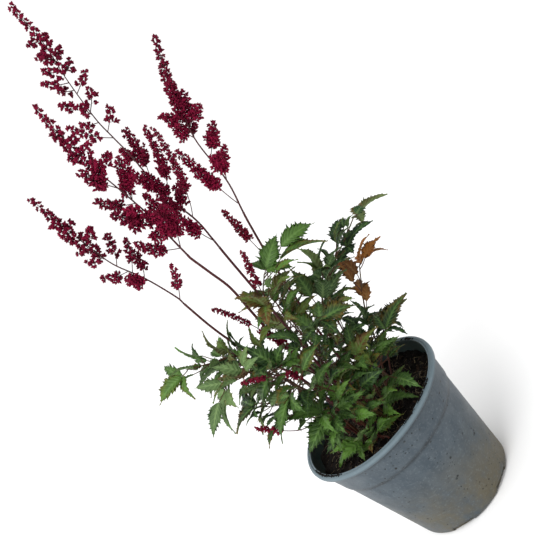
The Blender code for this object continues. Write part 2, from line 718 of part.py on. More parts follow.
def make_pot(plant, cutters):
    """The nursery pot: a turned shell with drainage notches cut at the foot of its wall."""
    outside, inside = pot_profile()
    bm = bmesh.new()
    line = [bm.verts.new((radius, 0, height)) for radius, height in outside + inside[:-1]]
    for start, end in zip(line, line[1:]):
        bm.edges.new((start, end))
    bm.edges.new((line[-1], line[0]))
    bmesh.ops.scale(bm, vec=(MM, MM, MM), verts=bm.verts)
    mesh = bpy.data.meshes.new("pot")
    bm.to_mesh(mesh)
    bm.free()
    pot = bpy.data.objects.new("pot", mesh)
    plant.objects.link(pot)
    turn = pot.modifiers.new("turn", "SCREW")
    turn.steps = turn.render_steps = POT_SIDES
    turn.use_merge_vertices = True
    turn.merge_threshold = 0.00005
    for index in range(NOTCHES):
        angle = math.radians(FIRST_NOTCH_DEGREES + index * 360 / NOTCHES)
        cut_notch(pot, angle, index, cutters)
    finish(pot, "pot")
    return pot


def cut_notch(pot, angle, index, cutters):
    """One drainage notch through the corner between the wall and the base."""
    bm = bmesh.new()
    bmesh.ops.create_cube(bm, size=1.0)
    size = (NOTCH_DEPTH, NOTCH_WIDTH, 2 * NOTCH_HEIGHT)
    bmesh.ops.scale(bm, vec=size, verts=bm.verts)
    cutter = link_mesh(f"notch_cutter_{index + 1}", bm, cutters)
    middle = BASE_RADIUS * MM
    cutter.location = (middle * math.cos(angle), middle * math.sin(angle), 0)
    cutter.rotation_euler = (0, 0, angle)
    cutter.hide_render = True
    cutter.display_type = "WIRE"
    cut = pot.modifiers.new(f"notch_{index + 1}", "BOOLEAN")
    cut.operation = "DIFFERENCE"
    cut.object = cutter


def soil_height(x, y):
    """The soil's lumpy top."""
    return SOIL_TOP + SOIL_RELIEF * (math.sin(0.17 * x + 1.3) * math.cos(0.21 * y)
                                     + 0.6 * math.sin(0.39 * x - 0.33 * y))


def make_soil(feet, plant, cutters):
    """The soil fills the pot to below its rim, with a plain hole for each stem."""
    bm = bmesh.new()
    floor = WALL + GAP
    levels = [(floor, inner_radius(BASE_ROUNDING + 2) - 1.5 - GAP), (BASE_ROUNDING + 3, None),
              (POT_HEIGHT - COLLAR_HEIGHT - 2, None), (SOIL_TOP, None)]
    rows = []
    for height, radius in levels:
        radius = inner_radius(height) - GAP if radius is None else radius
        rows.append([(radius * math.cos(a), radius * math.sin(a), height) for a in soil_angles()])
    edge = inner_radius(SOIL_TOP) - GAP
    for ring in range(1, SOIL_RINGS):
        radius = edge * (1 - ring / SOIL_RINGS)
        flat = [(radius * math.cos(a), radius * math.sin(a)) for a in soil_angles()]
        rows.append([(x, y, soil_height(x, y)) for x, y in flat])
    loops = [[bm.verts.new(place) for place in row] for row in rows]
    for lower, upper in zip(loops, loops[1:]):
        for i in range(POT_SIDES):
            j = (i + 1) % POT_SIDES
            bm.faces.new((lower[i], lower[j], upper[j], upper[i]))
    bm.faces.new(reversed(loops[0]))
    middle = bm.verts.new((0, 0, soil_height(0, 0)))
    for i in range(POT_SIDES):
        bm.faces.new((loops[-1][i], loops[-1][(i + 1) % POT_SIDES], middle))
    bmesh.ops.triangulate(bm, faces=bm.faces)
    soil = link_mesh("soil", bm, plant)
    for index, (foot, radius) in enumerate(feet):
        bm = bmesh.new()
        wide = (radius + GAP) / math.cos(math.pi / HOLE_SIDES)
        bmesh.ops.create_cone(bm, cap_ends=True, segments=HOLE_SIDES, radius1=wide, radius2=wide, depth=60)
        hole = link_mesh(f"hole_cutter_{index + 1}", bm, cutters)
        hole.location = (foot.x * MM, foot.y * MM, (SOIL_TOP - FOOT_DEPTH - GAP + 30) * MM)
        hole.rotation_euler = (0, 0, HOLE_TURN)
        hole.hide_render = True
        hole.display_type = "WIRE"
    holes = soil.modifiers.new("holes", "BOOLEAN")
    holes.operation = "DIFFERENCE"
    holes.operand_type = "COLLECTION"
    holes.collection = cutters
    holes.solver = SOLVER
    finish(soil, "soil")
    return soil


def soil_angles():
    """Even angles round the soil."""
    return [math.tau * i / POT_SIDES for i in range(POT_SIDES)]


# ---------------------------------------------------------------- plumes and fronds

def frames_along(points):
    """At each point of a line, its direction and one side of it, turning as little as possible."""
    ways = [(b - a).normalized() for a, b in zip(points, points[1:])]
    ways = [ways[0]] + [(a + b).normalized() for a, b in zip(ways, ways[1:])] + [ways[-1]]
    side = ways[0].orthogonal().normalized()
    frames = []
    for way in ways:
        side = (side - way * side.dot(way)).normalized()
        frames.append((way, side))
    return frames


def spray_stations(spray):
    """The rings of a spray: share of its length, radius, and the reach of the buds above it."""
    steps = [(b - a).length for a, b in zip(spray.line, spray.line[1:])]
    length = sum(steps)
    low, high = spray.radii
    shares = [sum(steps[:i]) / length for i in range(len(steps))]
    stations = [(share, low, 0) for share in shares if share < spray.bare - 0.5 * BUD_LENGTH / length]
    groups = max(1, round(length * (1 - spray.bare) / BUD_SPACING))
    span = (1 - spray.bare) / groups
    for index in range(groups):
        share = spray.bare + span * index
        reach = spray.reach * (1 - REACH_DROP * index / groups)
        core = max(BUD_CORE * reach, high)
        stations.append((share, core, reach))
        stations.append((share + min(BUD_LENGTH * reach / length, MOST_BUD * span), core, 0))
    return stations


def make_spray(name, spray, collection):
    """A spray of buds: a slim three-sided stem whose faces are drawn out to bud tips."""
    bm = bmesh.new()
    stations = spray_stations(spray)
    places = [at_share(spray.line, share) for share, radius, reach in stations]
    frames = frames_along(places + [spray.line[-1]])
    twist = 0.0
    rings, outs = [], []
    for (share, radius, reach), place, (way, side) in zip(stations, places, frames):
        turns = [Quaternion(way, twist + math.tau * i / SPRAY_SIDES) for i in range(SPRAY_SIDES)]
        rings.append([bm.verts.new(place + radius * (turn @ side)) for turn in turns])
        half = math.pi / SPRAY_SIDES
        outs.append([Quaternion(way, twist + half + math.tau * i / SPRAY_SIDES) @ side
                     for i in range(SPRAY_SIDES)])
        if not reach:
            twist += math.radians(BUD_TWIST)
    rings.append([bm.verts.new(spray.line[-1])] * SPRAY_SIDES)
    for k, (lower, upper) in enumerate(zip(rings, rings[1:])):
        reach = stations[k][2]
        for i in range(SPRAY_SIDES):
            j = (i + 1) % SPRAY_SIDES
            corners = [lower[i], lower[j], upper[j], upper[i]]
            if reach:
                peak = bm.verts.new(places[k] + reach * (BUD_SPREAD * outs[k][i] + BUD_LEAN * frames[k][0]))
                for start, end in zip(corners, corners[1:] + corners[:1]):
                    bm.faces.new((start, end, peak))
            elif upper[i] is upper[j]:
                bm.faces.new(corners[:3])
            else:
                bm.faces.new(corners[:3])
                bm.faces.new((corners[0], corners[2], corners[3]))
    bm.faces.new(reversed(rings[0]))
    return link_mesh(name, bm, collection)


def blade_faces(bm, blade, foot):
    """A serrated blade: two thin faces alike from the four points of its foot to its tip."""
    top, bottom, plus, minus = foot
    half = blade.normal * (RIB_THICKNESS / 2)
    teeth = blade.teeth
    rib = [(top, bottom)]
    for k in range(1, teeth):
        place = on_blade(blade, k / teeth, 0)
        rib.append((bm.verts.new(place + half), bm.verts.new(place - half)))
    tip = bm.verts.new(on_blade(blade, 1, 0))
    rib.append((tip, tip))
    for side, valley in ((-1, minus), (1, plus)):
        for k in range(teeth):
            point = bm.verts.new(on_blade(blade, (k + (0.72 if k else 0.8)) / teeth, side * TOOTH_REACH))
            last = k == teeth - 1
            after = tip if last else bm.verts.new(on_blade(blade, (k + 1.12) / teeth, side * VALLEY))
            for layer in (0, 1):
                low, high = rib[k][layer], rib[k + 1][layer]
                bm.faces.new((low, valley, point))
                bm.faces.new((low, point, high))
                if not last:
                    bm.faces.new((high, point, after))
            valley = after


def ring_round(bm, place, across, normal):
    """The four points of a leaflet's stalk: top, bottom, plus side and minus side."""
    ways = (normal, -normal, across, -across)
    return [bm.verts.new(place + LEAF_STALK_RADIUS * way) for way in ways]


def make_leaflet(name, leaflet, collection):
    """A leaflet on its stalk, with the side pair where it has one, in one closed skin."""
    bm = bmesh.new()
    blade = leaflet.blade
    way = (blade.foot - leaflet.root).normalized()
    across = (blade.across - way * blade.across.dot(way)).normalized()
    normal = way.cross(across)
    rings = [ring_round(bm, leaflet.root - way * ROOT_SINK, across, normal)]
    if leaflet.sides:
        rings.append(ring_round(bm, blade.foot - way * SIDE_FOOT, across, normal))
    rings.append(ring_round(bm, blade.foot, blade.across, blade.normal))
    bm.faces.new((rings[0][0], rings[0][2], rings[0][1], rings[0][3]))
    for index, (low, high) in enumerate(zip(rings, rings[1:])):
        for side, edge in ((1, 2), (-1, 3)):
            small = leaflet.sides.get(side) if index else None
            if small is None:
                for layer in (0, 1):
                    bm.faces.new((low[layer], low[edge], high[edge]))
                    bm.faces.new((low[layer], high[edge], high[layer]))
                continue
            middle = (low[edge].co + high[edge].co) / 2
            rise = blade.normal * (0.8 * LEAF_STALK_RADIUS)
            foot = [bm.verts.new(middle + rise), bm.verts.new(middle - rise)]
            for layer in (0, 1):
                bm.faces.new((low[layer], low[edge], foot[layer]))
                bm.faces.new((low[layer], foot[layer], high[layer]))
                bm.faces.new((high[layer], foot[layer], high[edge]))
            ends = (low[edge], high[edge]) if side == 1 else (high[edge], low[edge])
            blade_faces(bm, small, (*foot, *ends))
    blade_faces(bm, blade, rings[-1])
    return link_mesh(name, bm, collection)


def make_stalk(name, axis, sprays, plant, scratch):
    """A flower stalk below, and its crimson plume above, which meet end to end."""
    stalk = STALKS[name]
    lower = [p for p in axis if p.z < stalk.plume_from - 2] + [at_height(axis, stalk.plume_from)]
    stem = tube(name, lower, (stalk.radii[0], stalk.radii[0] * 0.75), 1, plant)
    finish(stem, "stem")
    plume = make_spray(name.replace("stalk", "plume"), sprays[0], plant)
    fuse(plume, [make_spray(f"spray_{i}", spray, scratch) for i, spray in enumerate(sprays[1:])])
    finish(plume, "plume")


def make_shoot(name, spray, plant):
    """A thin flowering shoot with buds at its end."""
    shoot = make_spray(name, spray, plant)
    finish(shoot, "plume")


def make_frond(name, grown, plant, scratch):
    """A leaf: its stem, with the leaflets on their stalks."""
    stem, leaflets = grown
    frond = tube(name, stem, FROND_RADII, 0, plant)
    fuse(frond, [make_leaflet(f"leaflet_{i}", leaflet, scratch) for i, leaflet in enumerate(leaflets)])
    finish(frond, "bronze" if name == "frond_brown" else "leaf")


def build():
    """The whole plant in its pot."""
    clear_scene()
    plant = new_collection("astilbe_in_pot")
    pot_cutters = new_collection("pot_cutters")
    soil_cutters = new_collection("soil_cutters")
    scratch = new_collection("scratch")
    axes, plumes, shoots, fronds = grow()
    make_pot(plant, pot_cutters)
    feet = [(axes[name][0], STALKS[name].radii[0]) for name in STALKS]
    feet += [(shoots[name].line[0], SHOOT_RADII[0]) for name in SHOOTS]
    feet += [(fronds[name][0][0], FROND_RADII[0]) for name in FRONDS]
    make_soil(feet, plant, soil_cutters)
    for name in STALKS:
        make_stalk(name, axes[name], plumes[name], plant, scratch)
    for name in SHOOTS:
        make_shoot(name, shoots[name], plant)
    for name in FRONDS:
        make_frond(name, fronds[name], plant, scratch)
    bpy.data.collections.remove(scratch)


if __name__ == "__main__":
    build()
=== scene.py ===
"""The look of the astilbe in its nursery pot.

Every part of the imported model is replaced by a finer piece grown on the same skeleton: the
stems and leaflets of the fronds, the sprays of the plumes, the pot and the soil. The tables
and the growing rules below are those of the solids, in millimetres in the pot's frame.
"""

import math
import random
import zlib
from collections import namedtuple
from itertools import product

import bmesh
import bpy
import numpy as np
from mathutils import Matrix, Quaternion, Vector, noise


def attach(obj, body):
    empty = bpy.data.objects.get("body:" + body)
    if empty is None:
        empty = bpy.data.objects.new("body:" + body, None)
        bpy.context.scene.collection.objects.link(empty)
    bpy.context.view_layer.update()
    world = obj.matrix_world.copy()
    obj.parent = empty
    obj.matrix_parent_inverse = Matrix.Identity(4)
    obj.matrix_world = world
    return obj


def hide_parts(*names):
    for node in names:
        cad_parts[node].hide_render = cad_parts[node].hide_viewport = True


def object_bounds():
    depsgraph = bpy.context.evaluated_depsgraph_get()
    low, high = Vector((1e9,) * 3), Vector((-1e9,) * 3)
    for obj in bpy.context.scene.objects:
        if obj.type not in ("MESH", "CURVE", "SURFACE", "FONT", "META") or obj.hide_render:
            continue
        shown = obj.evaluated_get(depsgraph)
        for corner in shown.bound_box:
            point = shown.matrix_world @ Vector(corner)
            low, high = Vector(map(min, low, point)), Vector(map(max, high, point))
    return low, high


MM = 0.001
GAP = 0.3

# The pot
POT_HEIGHT = 139.0
RIM_RADIUS = 85.0
RIM_INNER_RADIUS = 79.0
LIP_HEIGHT = 5.0
NECK_RADIUS = 81.0
COLLAR_HEIGHT = 33.0
COLLAR_RADIUS = 76.0
COLLAR_STEP = 1.3
BASE_RADIUS = 58.5
BASE_ROUNDING = 4.0
WALL = 2.0
NOTCHES = 6
NOTCH_WIDTH = 25.0
NOTCH_HEIGHT = 5.5
NOTCH_DEPTH = 9.0
FIRST_NOTCH_DEGREES = -57.0

# The soil
SOIL_TOP = 125.0
SOIL_RELIEF = 1.6
HOLE_MOUTH = 3.0

# Leaflets
BLADE_FOLD = 0.22
BLADE_ARCH = 0.09
BLADE_WIDEST = 0.33
BLADE_POWERS = (0.75, 1.52)
BLADE_WIDTHS = (0.25, 0.31)
BLADE_LEAN = 34.0
BLADE_FACE = 0.7
LEAST_STALK = 0.14
SIDE_LEAFLET = 0.7
SIDE_WIDTHS = (0.27, 0.33)
SIDE_LEAN = 16.0
SIDE_ANGLE = 72.0
SIDE_FOOT = 3.0
SHRINKS = (1.0, 0.85, 0.7, 0.6)
SWINGS = (0, 14, -14, 28, -28, 42, -42)
DIPS = (0, -16, 16, -32, 32)
LEAF_CLEARANCE = 3.5
OWN_CLEARANCE = 2.6
STALK_CLEARANCE = 2.6
RIM_CLEARANCE = 3.0
ROOM_SPACING = 4.0
BLADE_STEP = 5.5
STALK_STEP = 3.0
LEAF_STALK_RADIUS = 0.6
FROND_RADII = (1.3, 0.7)
STEM_SPACING = 30.0

# Florets
SPRAY_RADIUS = 0.6
SPRAY_TAPER = 0.8
SPRAY_BARE = 0.3
SPRAY_BEND = (0.66, 0.36)
SPRAY_STEP = 13.0
FILLER_DEGREES = 38.0
FILLER_MARGINS = (20.0, 25.0)
FILLER_WAY = (0.72, 0.7)
FILLER_REACH = (5.6, 4.0)
CROWN = 78.0
CROWN_REACH = 5.0
CROWN_TAPER = (0.75, 0.8)
SHOOT_RADII = (1.1, 0.6)

# A flower stalk: its route from the soil to the tip, the height where its plume starts, its
# radii at the foot and at the tip, the reach of its lowest and highest added sprays, and the
# sprays that show. A spray is the height where it leaves the stalk, its tip, and the reach
# of its lowest buds.
Stalk = namedtuple("Stalk", "route plume_from radii fillers reach sprays")
STALKS = {
    "stalk_rear": Stalk(
        route=[(-4, 20, 111), (-3, 22, 180), (8, 27, 251), (21, 34, 331), (29, 40, 380),
               (28, 44, 420), (35, 47, 462), (40, 50, 510), (50, 53, 551), (61, 57, 586),
               (67, 60, 628)],
        plume_from=346, radii=(1.7, 0.7), fillers=4, reach=(34, 12),
        sprays=[(353, (19, 10, 418), 5.0), (382, (70, 104, 461), 3.8), (412, (62, 17, 474), 4.6),
                (390, (24, 19, 421), 5.4), (404, (31, 27, 446), 5.8), (420, (24, 22, 456), 5.0),
                (436, (50, 68, 482), 6.2), (486, (18, 32, 523), 3.8), (505, (26, 58, 516), 3.8),
                (495, (58, 58, 507), 5.2), (518, (58, 42, 530), 5.8), (525, (27, 42, 541), 4.2),
                (539, (37, 62, 552), 4.0), (537, (68, 59, 544), 4.2), (547, (33, 44, 564), 4.0),
                (558, (41, 61, 573), 3.8), (571, (48, 46, 582), 4.2), (554, (65, 60, 560), 4.6),
                (568, (67, 48, 574), 4.2), (590, (52, 60, 596), 3.6), (582, (68, 64, 592), 3.6)]),
    "stalk_front": Stalk(
        route=[(-10, -6, 111), (-8, -6, 190), (-5, -8, 270), (3, -13, 325), (1, -22, 372),
               (7, -29, 425), (8, -37, 485), (11, -41, 523), (15, -45, 552)],
        plume_from=376, radii=(1.6, 0.7), fillers=4, reach=(30, 12),
        sprays=[(384, (-21, -19, 416), 5.2), (386, (20, -36, 421), 5.6), (408, (-7, -36, 412), 4.6),
                (392, (10, -50, 428), 5.6), (400, (18, -14, 437), 5.6), (416, (-11, -44, 450), 6.4),
                (440, (-14, -21, 466), 4.6), (436, (-2, -50, 444), 5.0), (443, (26, -15, 475), 6.6),
                (462, (-2, -49, 492), 5.8), (482, (25, -30, 484), 5.0), (500, (21, -45, 502), 4.0),
                (500, (0, -34, 506), 4.0), (512, (18, -37, 517), 3.6), (523, (5, -43, 527), 3.4)]),
    "stalk_left": Stalk(
        route=[(-20, 10, 111), (-22, 12, 206), (-34, 12, 258), (-38, 13, 310), (-37, 13, 352),
               (-42, 14, 385), (-50, 14, 415), (-52, 15, 470), (-51, 15, 508)],
        plume_from=341, radii=(1.5, 0.6), fillers=3, reach=(24, 10),
        sprays=[(348, (-17, 6, 376), 3.8), (385, (-52, 4, 399), 5.6), (383, (-31, 34, 408), 4.4),
                (399, (-68, 25, 413), 4.2), (397, (-26, 20, 421), 3.4), (411, (-34, 30, 436), 5.2),
                (425, (-63, 7, 434), 4.6), (442, (-63, 20, 444), 4.2), (445, (-37, 6, 452), 5.0),
                (456, (-60, 20, 460), 4.0), (465, (-43, 21, 468), 3.8), (474, (-58, 8, 480), 3.4)]),
    "stalk_right": Stalk(
        route=[(8, 12, 111), (22, 14, 211), (34, 13, 261), (45, 12, 302), (60, 10, 348),
               (75, 9, 387), (83, 7, 430), (93, 7, 455), (104, 6, 480), (128, 5, 518)],
        plume_from=356, radii=(1.5, 0.6), fillers=3, reach=(30, 12),
        sprays=[(363, (65, 26, 436), 6.0), (387, (86, -3, 412), 5.0), (398, (98, 14, 408), 4.2),
                (413, (106, 18, 430), 6.8), (436, (80, 17, 454), 6.6), (446, (108, 0, 450), 5.6),
                (449, (79, -4, 470), 5.2), (452, (107, 14, 470), 6.6)]),
}

# A flowering shoot among the leaves: route, the share of it that is bare, and bud reach.
Shoot = namedtuple("Shoot", "route bare reach")
SHOOTS = {
    "shoot_top": Shoot([(2, 0, 111), (8, 0, 200), (16, -2, 270), (30, -3, 298), (44, -2, 314),
                        (48, 0, 340), (52, 0, 374)], 0.86, 5.0),
    "shoot_left": Shoot([(-6, -20, 111), (-3, -20, 200), (-6, -18, 262), (-13, -16, 298),
                         (-22, -15, 325)], 0.64, 4.8),
    "shoot_front": Shoot([(-14, -26, 111), (-18, -36, 170), (-18, -50, 215), (-18, -62, 242),
                          (-30, -65, 257), (-51, -66, 275)], 0.7, 4.8),
    "shoot_low": Shoot([(-24, -24, 111), (-26, -48, 165), (-34, -58, 190), (-55, -60, 205),
                        (-76, -60, 236)], 0.84, 4.4),
    "shoot_pink": Shoot([(0, -14, 111), (4, -22, 200), (12, -26, 280), (22, -27, 312),
                         (35, -30, 342)], 0.84, 4.4),
}

# A frond: the route of its stem, and its leaflets. A leaflet is the share of the stem where
# its stalk leaves, its tip, the length of its blade and whether it carries a side pair.
Frond = namedtuple("Frond", "route leaflets")
FRONDS = {
    "frond_top_right": Frond(
        [(22, 6, 111), (30, 12, 180), (49, 18, 238), (78, 20, 252), (105, 22, 259), (130, 24, 267)],
        [(1.0, (169, 26, 258), 38, True), (0.78, (137, 5, 260), 34, True),
         (0.8, (121, 42, 274), 27, False), (0.66, (118, 0, 276), 27, False),
         (0.6, (93, 30, 275), 31, False), (0.53, (75, 4, 268), 38, True)]),
    "frond_brown": Frond(
        [(26, 16, 111), (48, 34, 150), (70, 45, 185), (85, 50, 202), (101, 54, 219)],
        [(1.0, (129, 50, 238), 29, True), (0.98, (138, 66, 222), 29, False),
         (0.85, (104, 36, 246), 32, False), (0.8, (90, 62, 243), 32, False),
         (0.66, (92, 26, 212), 25, False), (0.72, (92, 78, 204), 27, False)]),
    "frond_top": Frond(
        [(6, -10, 111), (4, -12, 190), (10, -15, 263), (17, -20, 296), (32, -26, 312)],
        [(1.0, (68, -16, 326), 41, True), (0.97, (95, -42, 318), 45, False),
         (0.86, (56, -12, 292), 34, False), (0.94, (30, -50, 332), 28, False),
         (0.82, (4, -50, 326), 41, True)]),
    "frond_middle": Frond(
        [(14, -12, 111), (22, -10, 180), (32, -8, 231), (56, 2, 250), (68, 8, 258)],
        [(1.0, (73, 4, 297), 38, True), (0.95, (92, -12, 262), 32, False),
         (0.85, (66, -22, 268), 34, False), (0.78, (53, 18, 284), 34, False)]),
    "frond_centre": Frond(
        [(2, -26, 111), (-2, -36, 208), (15, -42, 234), (30, -47, 252)],
        [(1.0, (67, -52, 238), 47, True), (0.92, (18, -30, 275), 32, False),
         (0.96, (18, -74, 268), 36, True), (0.78, (-2, -62, 285), 38, False)]),
    "frond_heart": Frond(
        [(35, -20, 111), (36, -27, 150), (30, -38, 185), (27, -44, 200)],
        [(1.0, (62, -52, 210), 38, True), (0.96, (34, -66, 232), 36, True),
         (0.9, (2, -62, 200), 32, False)]),
    "frond_right": Frond(
        [(30, -4, 111), (36, -5, 150), (46, -7, 168), (62, -12, 180)],
        [(1.0, (107, -5, 187), 47, True), (0.96, (103, -20, 196), 41, False),
         (0.94, (58, -27, 162), 29, False)]),
    "frond_dark": Frond(
        [(18, 20, 111), (30, 24, 150), (48, 27, 168), (60, 30, 178)],
        [(1.0, (78, 18, 186), 27, False), (0.98, (76, 44, 202), 32, True),
         (0.85, (44, 24, 198), 27, False)]),
    "frond_left": Frond(
        [(-28, 0, 111), (-30, -4, 200), (-33, -8, 253), (-42, -11, 277), (-62, -15, 293),
         (-78, -18, 306)],
        [(1.0, (-121, -15, 306), 34, True), (0.95, (-92, -30, 320), 27, False),
         (0.9, (-84, -2, 286), 29, False), (0.86, (-72, -8, 326), 27, False),
         (0.78, (-47, -25, 321), 36, True)]),
    "frond_left_pale": Frond(
        [(-24, -16, 111), (-24, -30, 190), (-28, -38, 240), (-42, -47, 270), (-63, -55, 281)],
        [(1.0, (-96, -55, 249), 45, True), (0.96, (-106, -66, 268), 43, False),
         (0.88, (-78, -74, 292), 34, False), (0.82, (-60, -44, 300), 29, False)]),
    "frond_front_left": Frond(
        [(-4, -34, 111), (-4, -42, 180), (-7, -47, 225), (-15, -54, 250), (-30, -58, 260)],
        [(1.0, (-62, -66, 240), 47, True), (0.92, (-2, -66, 270), 36, False),
         (0.9, (-36, -58, 290), 34, True)]),
    "frond_front_tall": Frond(
        [(6, -38, 111), (2, -48, 160), (-8, -58, 205), (-17, -70, 232), (-28, -77, 241)],
        [(1.0, (-68, -90, 222), 50, True), (0.93, (-40, -92, 254), 32, False),
         (0.8, (14, -82, 232), 34, False)]),
    "frond_front_low": Frond(
        [(-12, -44, 111), (-13, -50, 160), (-17, -58, 185), (-25, -68, 197)],
        [(1.0, (-47, -84, 230), 45, True), (0.95, (-60, -86, 204), 45, False),
         (0.85, (-42, -80, 172), 41, True)]),
    "frond_front_short": Frond(
        [(14, -30, 111), (12, -36, 145), (7, -40, 161), (-2, -41, 170)],
        [(1.0, (-16, -66, 146), 38, True), (0.9, (28, -46, 190), 41, False),
         (0.95, (0, -70, 206), 43, False)]),
    "frond_soil_left": Frond(
        [(-8, -52, 111), (-14, -46, 132), (-22, -38, 140)],
        [(1.0, (-62, -24, 132), 45, True)]),
    "frond_soil_right": Frond(
        [(20, -18, 111), (19, -24, 132), (14, -28, 141)],
        [(1.0, (22, -62, 134), 38, True), (0.92, (44, -42, 137), 34, False)]),
    "frond_rear": Frond(
        [(0, 34, 111), (4, 44, 180), (14, 60, 235), (18, 76, 262)],
        [(1.0, (16, 116, 264), 43, True), (0.95, (48, 98, 272), 41, False),
         (0.92, (-14, 90, 276), 38, False)]),
    "frond_rear_left": Frond(
        [(-18, 28, 111), (-30, 42, 180), (-44, 56, 225), (-58, 66, 248)],
        [(1.0, (-98, 82, 262), 43, True), (0.95, (-66, 104, 252), 41, False),
         (0.9, (-82, 50, 276), 34, False)]),
    "frond_rear_right": Frond(
        [(18, 34, 111), (34, 52, 170), (50, 66, 205), (66, 78, 222)],
        [(1.0, (106, 92, 222), 43, True), (0.95, (78, 112, 236), 38, False),
         (0.9, (92, 62, 250), 32, False)]),
    "frond_left_low": Frond(
        [(-34, 18, 111), (-46, 24, 165), (-58, 28, 198), (-70, 30, 216)],
        [(1.0, (-106, 28, 214), 41, True), (0.93, (-92, 56, 234), 36, False),
         (0.9, (-84, 2, 226), 34, False)]),
    "frond_rear_low": Frond(
        [(6, 50, 111), (6, 62, 148), (8, 76, 168)],
        [(1.0, (6, 114, 172), 41, True), (0.93, (40, 94, 186), 38, False),
         (0.9, (-28, 92, 184), 38, False)]),
    "frond_right_low": Frond(
        [(38, 20, 111), (54, 30, 146), (70, 38, 164)],
        [(1.0, (108, 46, 162), 41, True), (0.9, (90, 70, 178), 36, False)]),
}

Blade = namedtuple("Blade", "foot along across normal length half_width")
Leaflet = namedtuple("Leaflet", "root blade sides")
Spray = namedtuple("Spray", "line radii bare reach")


# ---------------------------------------------------------------- where everything grows

def curve_through(controls, spacing):
    """Points about spacing apart on the smooth (Catmull-Rom) curve through the controls."""
    knots = [Vector(point) for point in controls]
    knots.insert(0, 2 * knots[0] - knots[1])
    knots.append(2 * knots[-1] - knots[-2])
    points = []
    for before, start, end, after in zip(knots, knots[1:], knots[2:], knots[3:]):
        steps = max(1, round((end - start).length / spacing))
        for step in range(steps):
            t = step / steps
            points.append(0.5 * (2 * start + (end - before) * t
                                 + (2 * before - 5 * start + 4 * end - after) * t ** 2
                                 + (3 * start - before - 3 * end + after) * t ** 3))
    points.append(knots[-2])
    return points


def rooted(route, spacing):
    """A stem's points: straight up out of its hole in the soil, then on along its route."""
    foot = Vector(route[0])
    mouth = Vector((foot.x, foot.y, SOIL_TOP + HOLE_MOUTH))
    return [foot] + curve_through([mouth] + route[1:], spacing)


def filled(points, spacing):
    """A line's points with more between them, no further apart than the spacing."""
    places = []
    for a, b in zip(points, points[1:]):
        steps = math.ceil((b - a).length / spacing)
        places += [a.lerp(b, step / steps) for step in range(steps)]
    return places + [points[-1]]


def at_share(points, share):
    """The place at a share of the way along a line of points."""
    lengths = [(b - a).length for a, b in zip(points, points[1:])]
    left = share * sum(lengths)
    for a, b, length in zip(points, points[1:], lengths):
        if left <= length:
            return a.lerp(b, left / length)
        left -= length
    return points[-1].copy()


def at_height(points, height):
    """The place where a rising line of points passes a height."""
    for a, b in zip(points, points[1:]):
        if a.z <= height <= b.z:
            return a.lerp(b, (height - a.z) / (b.z - a.z))
    return points[-1].copy()


def between(ends, share):
    """The value at a share of the way from one end to the other."""
    return ends[0] + (ends[1] - ends[0]) * share


def spray_route(foot, tip):
    """A side spray leaves its stalk outwards and bends up to its tip."""
    reach = tip - foot
    out, up = SPRAY_BEND
    bend = foot + Vector((out * reach.x, out * reach.y, up * reach.z))
    steps = max(2, round(reach.length / SPRAY_STEP))
    return [foot.lerp(bend, t).lerp(bend.lerp(tip, t), t)
            for t in (i / steps for i in range(steps + 1))]


class Room:
    """What has been placed so far, which later pieces of other plants' parts keep clear of."""

    def __init__(self):
        self.points = np.empty((0, 3))
        self.radii = np.empty(0)
        self.owners = np.empty(0, dtype=str)
        self.parts = np.empty(0, dtype=int)

    def add(self, owner, points, radius, part=-1):
        """Take up the room within a radius of these points, for a numbered part of an owner."""
        count = len(points)
        self.points = np.vstack([self.points, np.array([tuple(p) for p in points])])
        self.radii = np.append(self.radii, [radius] * count)
        self.owners = np.append(self.owners, [owner] * count)
        self.parts = np.append(self.parts, [part] * count)

    def clearance(self, owner, points, part=None):
        """The least distance to what other owners hold, or to an owner's other numbered parts."""
        mine = self.owners == owner
        others = ~mine if part is None else mine & (self.parts != part) & (self.parts >= 0)
        if not others.any():
            return math.inf
        places = np.array([tuple(p) for p in points])
        away = np.sqrt(((places[:, None] - self.points[others][None]) ** 2).sum(axis=2))
        return float((away - self.radii[others]).min())


def filler_sprays(stalk, axis, rng):
    """Shorter sprays towards the front and the back, so that the plume is full all round."""
    low = stalk.plume_from + FILLER_MARGINS[0]
    high = stalk.route[-1][2] - FILLER_MARGINS[1]
    for index in range(stalk.fillers):
        share = (index + 0.5) / stalk.fillers
        foot = at_height(axis, between((low, high), share))
        side = 90 if index % 2 else -90
        angle = math.radians(side + rng.uniform(-FILLER_DEGREES, FILLER_DEGREES))
        out, up = FILLER_WAY
        way = Vector((out * math.cos(angle), out * math.sin(angle), up))
        yield foot, foot + between(stalk.reach, share) * way, between(FILLER_REACH, share)


def grow_plume(name, stalk, axis, room):
    """The upper stalk and the side sprays of one plume, the upper stalk first."""
    rng = random.Random(name)
    upper = [p for p in axis if p.z > stalk.plume_from + 2]
    upper.insert(0, at_height(axis, stalk.plume_from + GAP))
    length = sum((b - a).length for a, b in zip(upper, upper[1:]))
    radii = (stalk.radii[0] * CROWN_TAPER[0], stalk.radii[1] * CROWN_TAPER[1])
    sprays = [Spray(upper, radii, 1 - CROWN / length, CROWN_REACH)]
    places = [(at_height(axis, height), Vector(tip), reach) for height, tip, reach in stalk.sprays]
    for foot, tip, reach in places + list(filler_sprays(stalk, axis, rng)):
        line = spray_route(foot, tip)
        if room.clearance(name, line[1:]) > reach + 1:
            sprays.append(
                Spray(line, (SPRAY_RADIUS, SPRAY_TAPER * SPRAY_RADIUS), SPRAY_BARE, reach))
    for spray in sprays:
        room.add(name, filled(spray.line, ROOM_SPACING), spray.reach - 1)
    return sprays


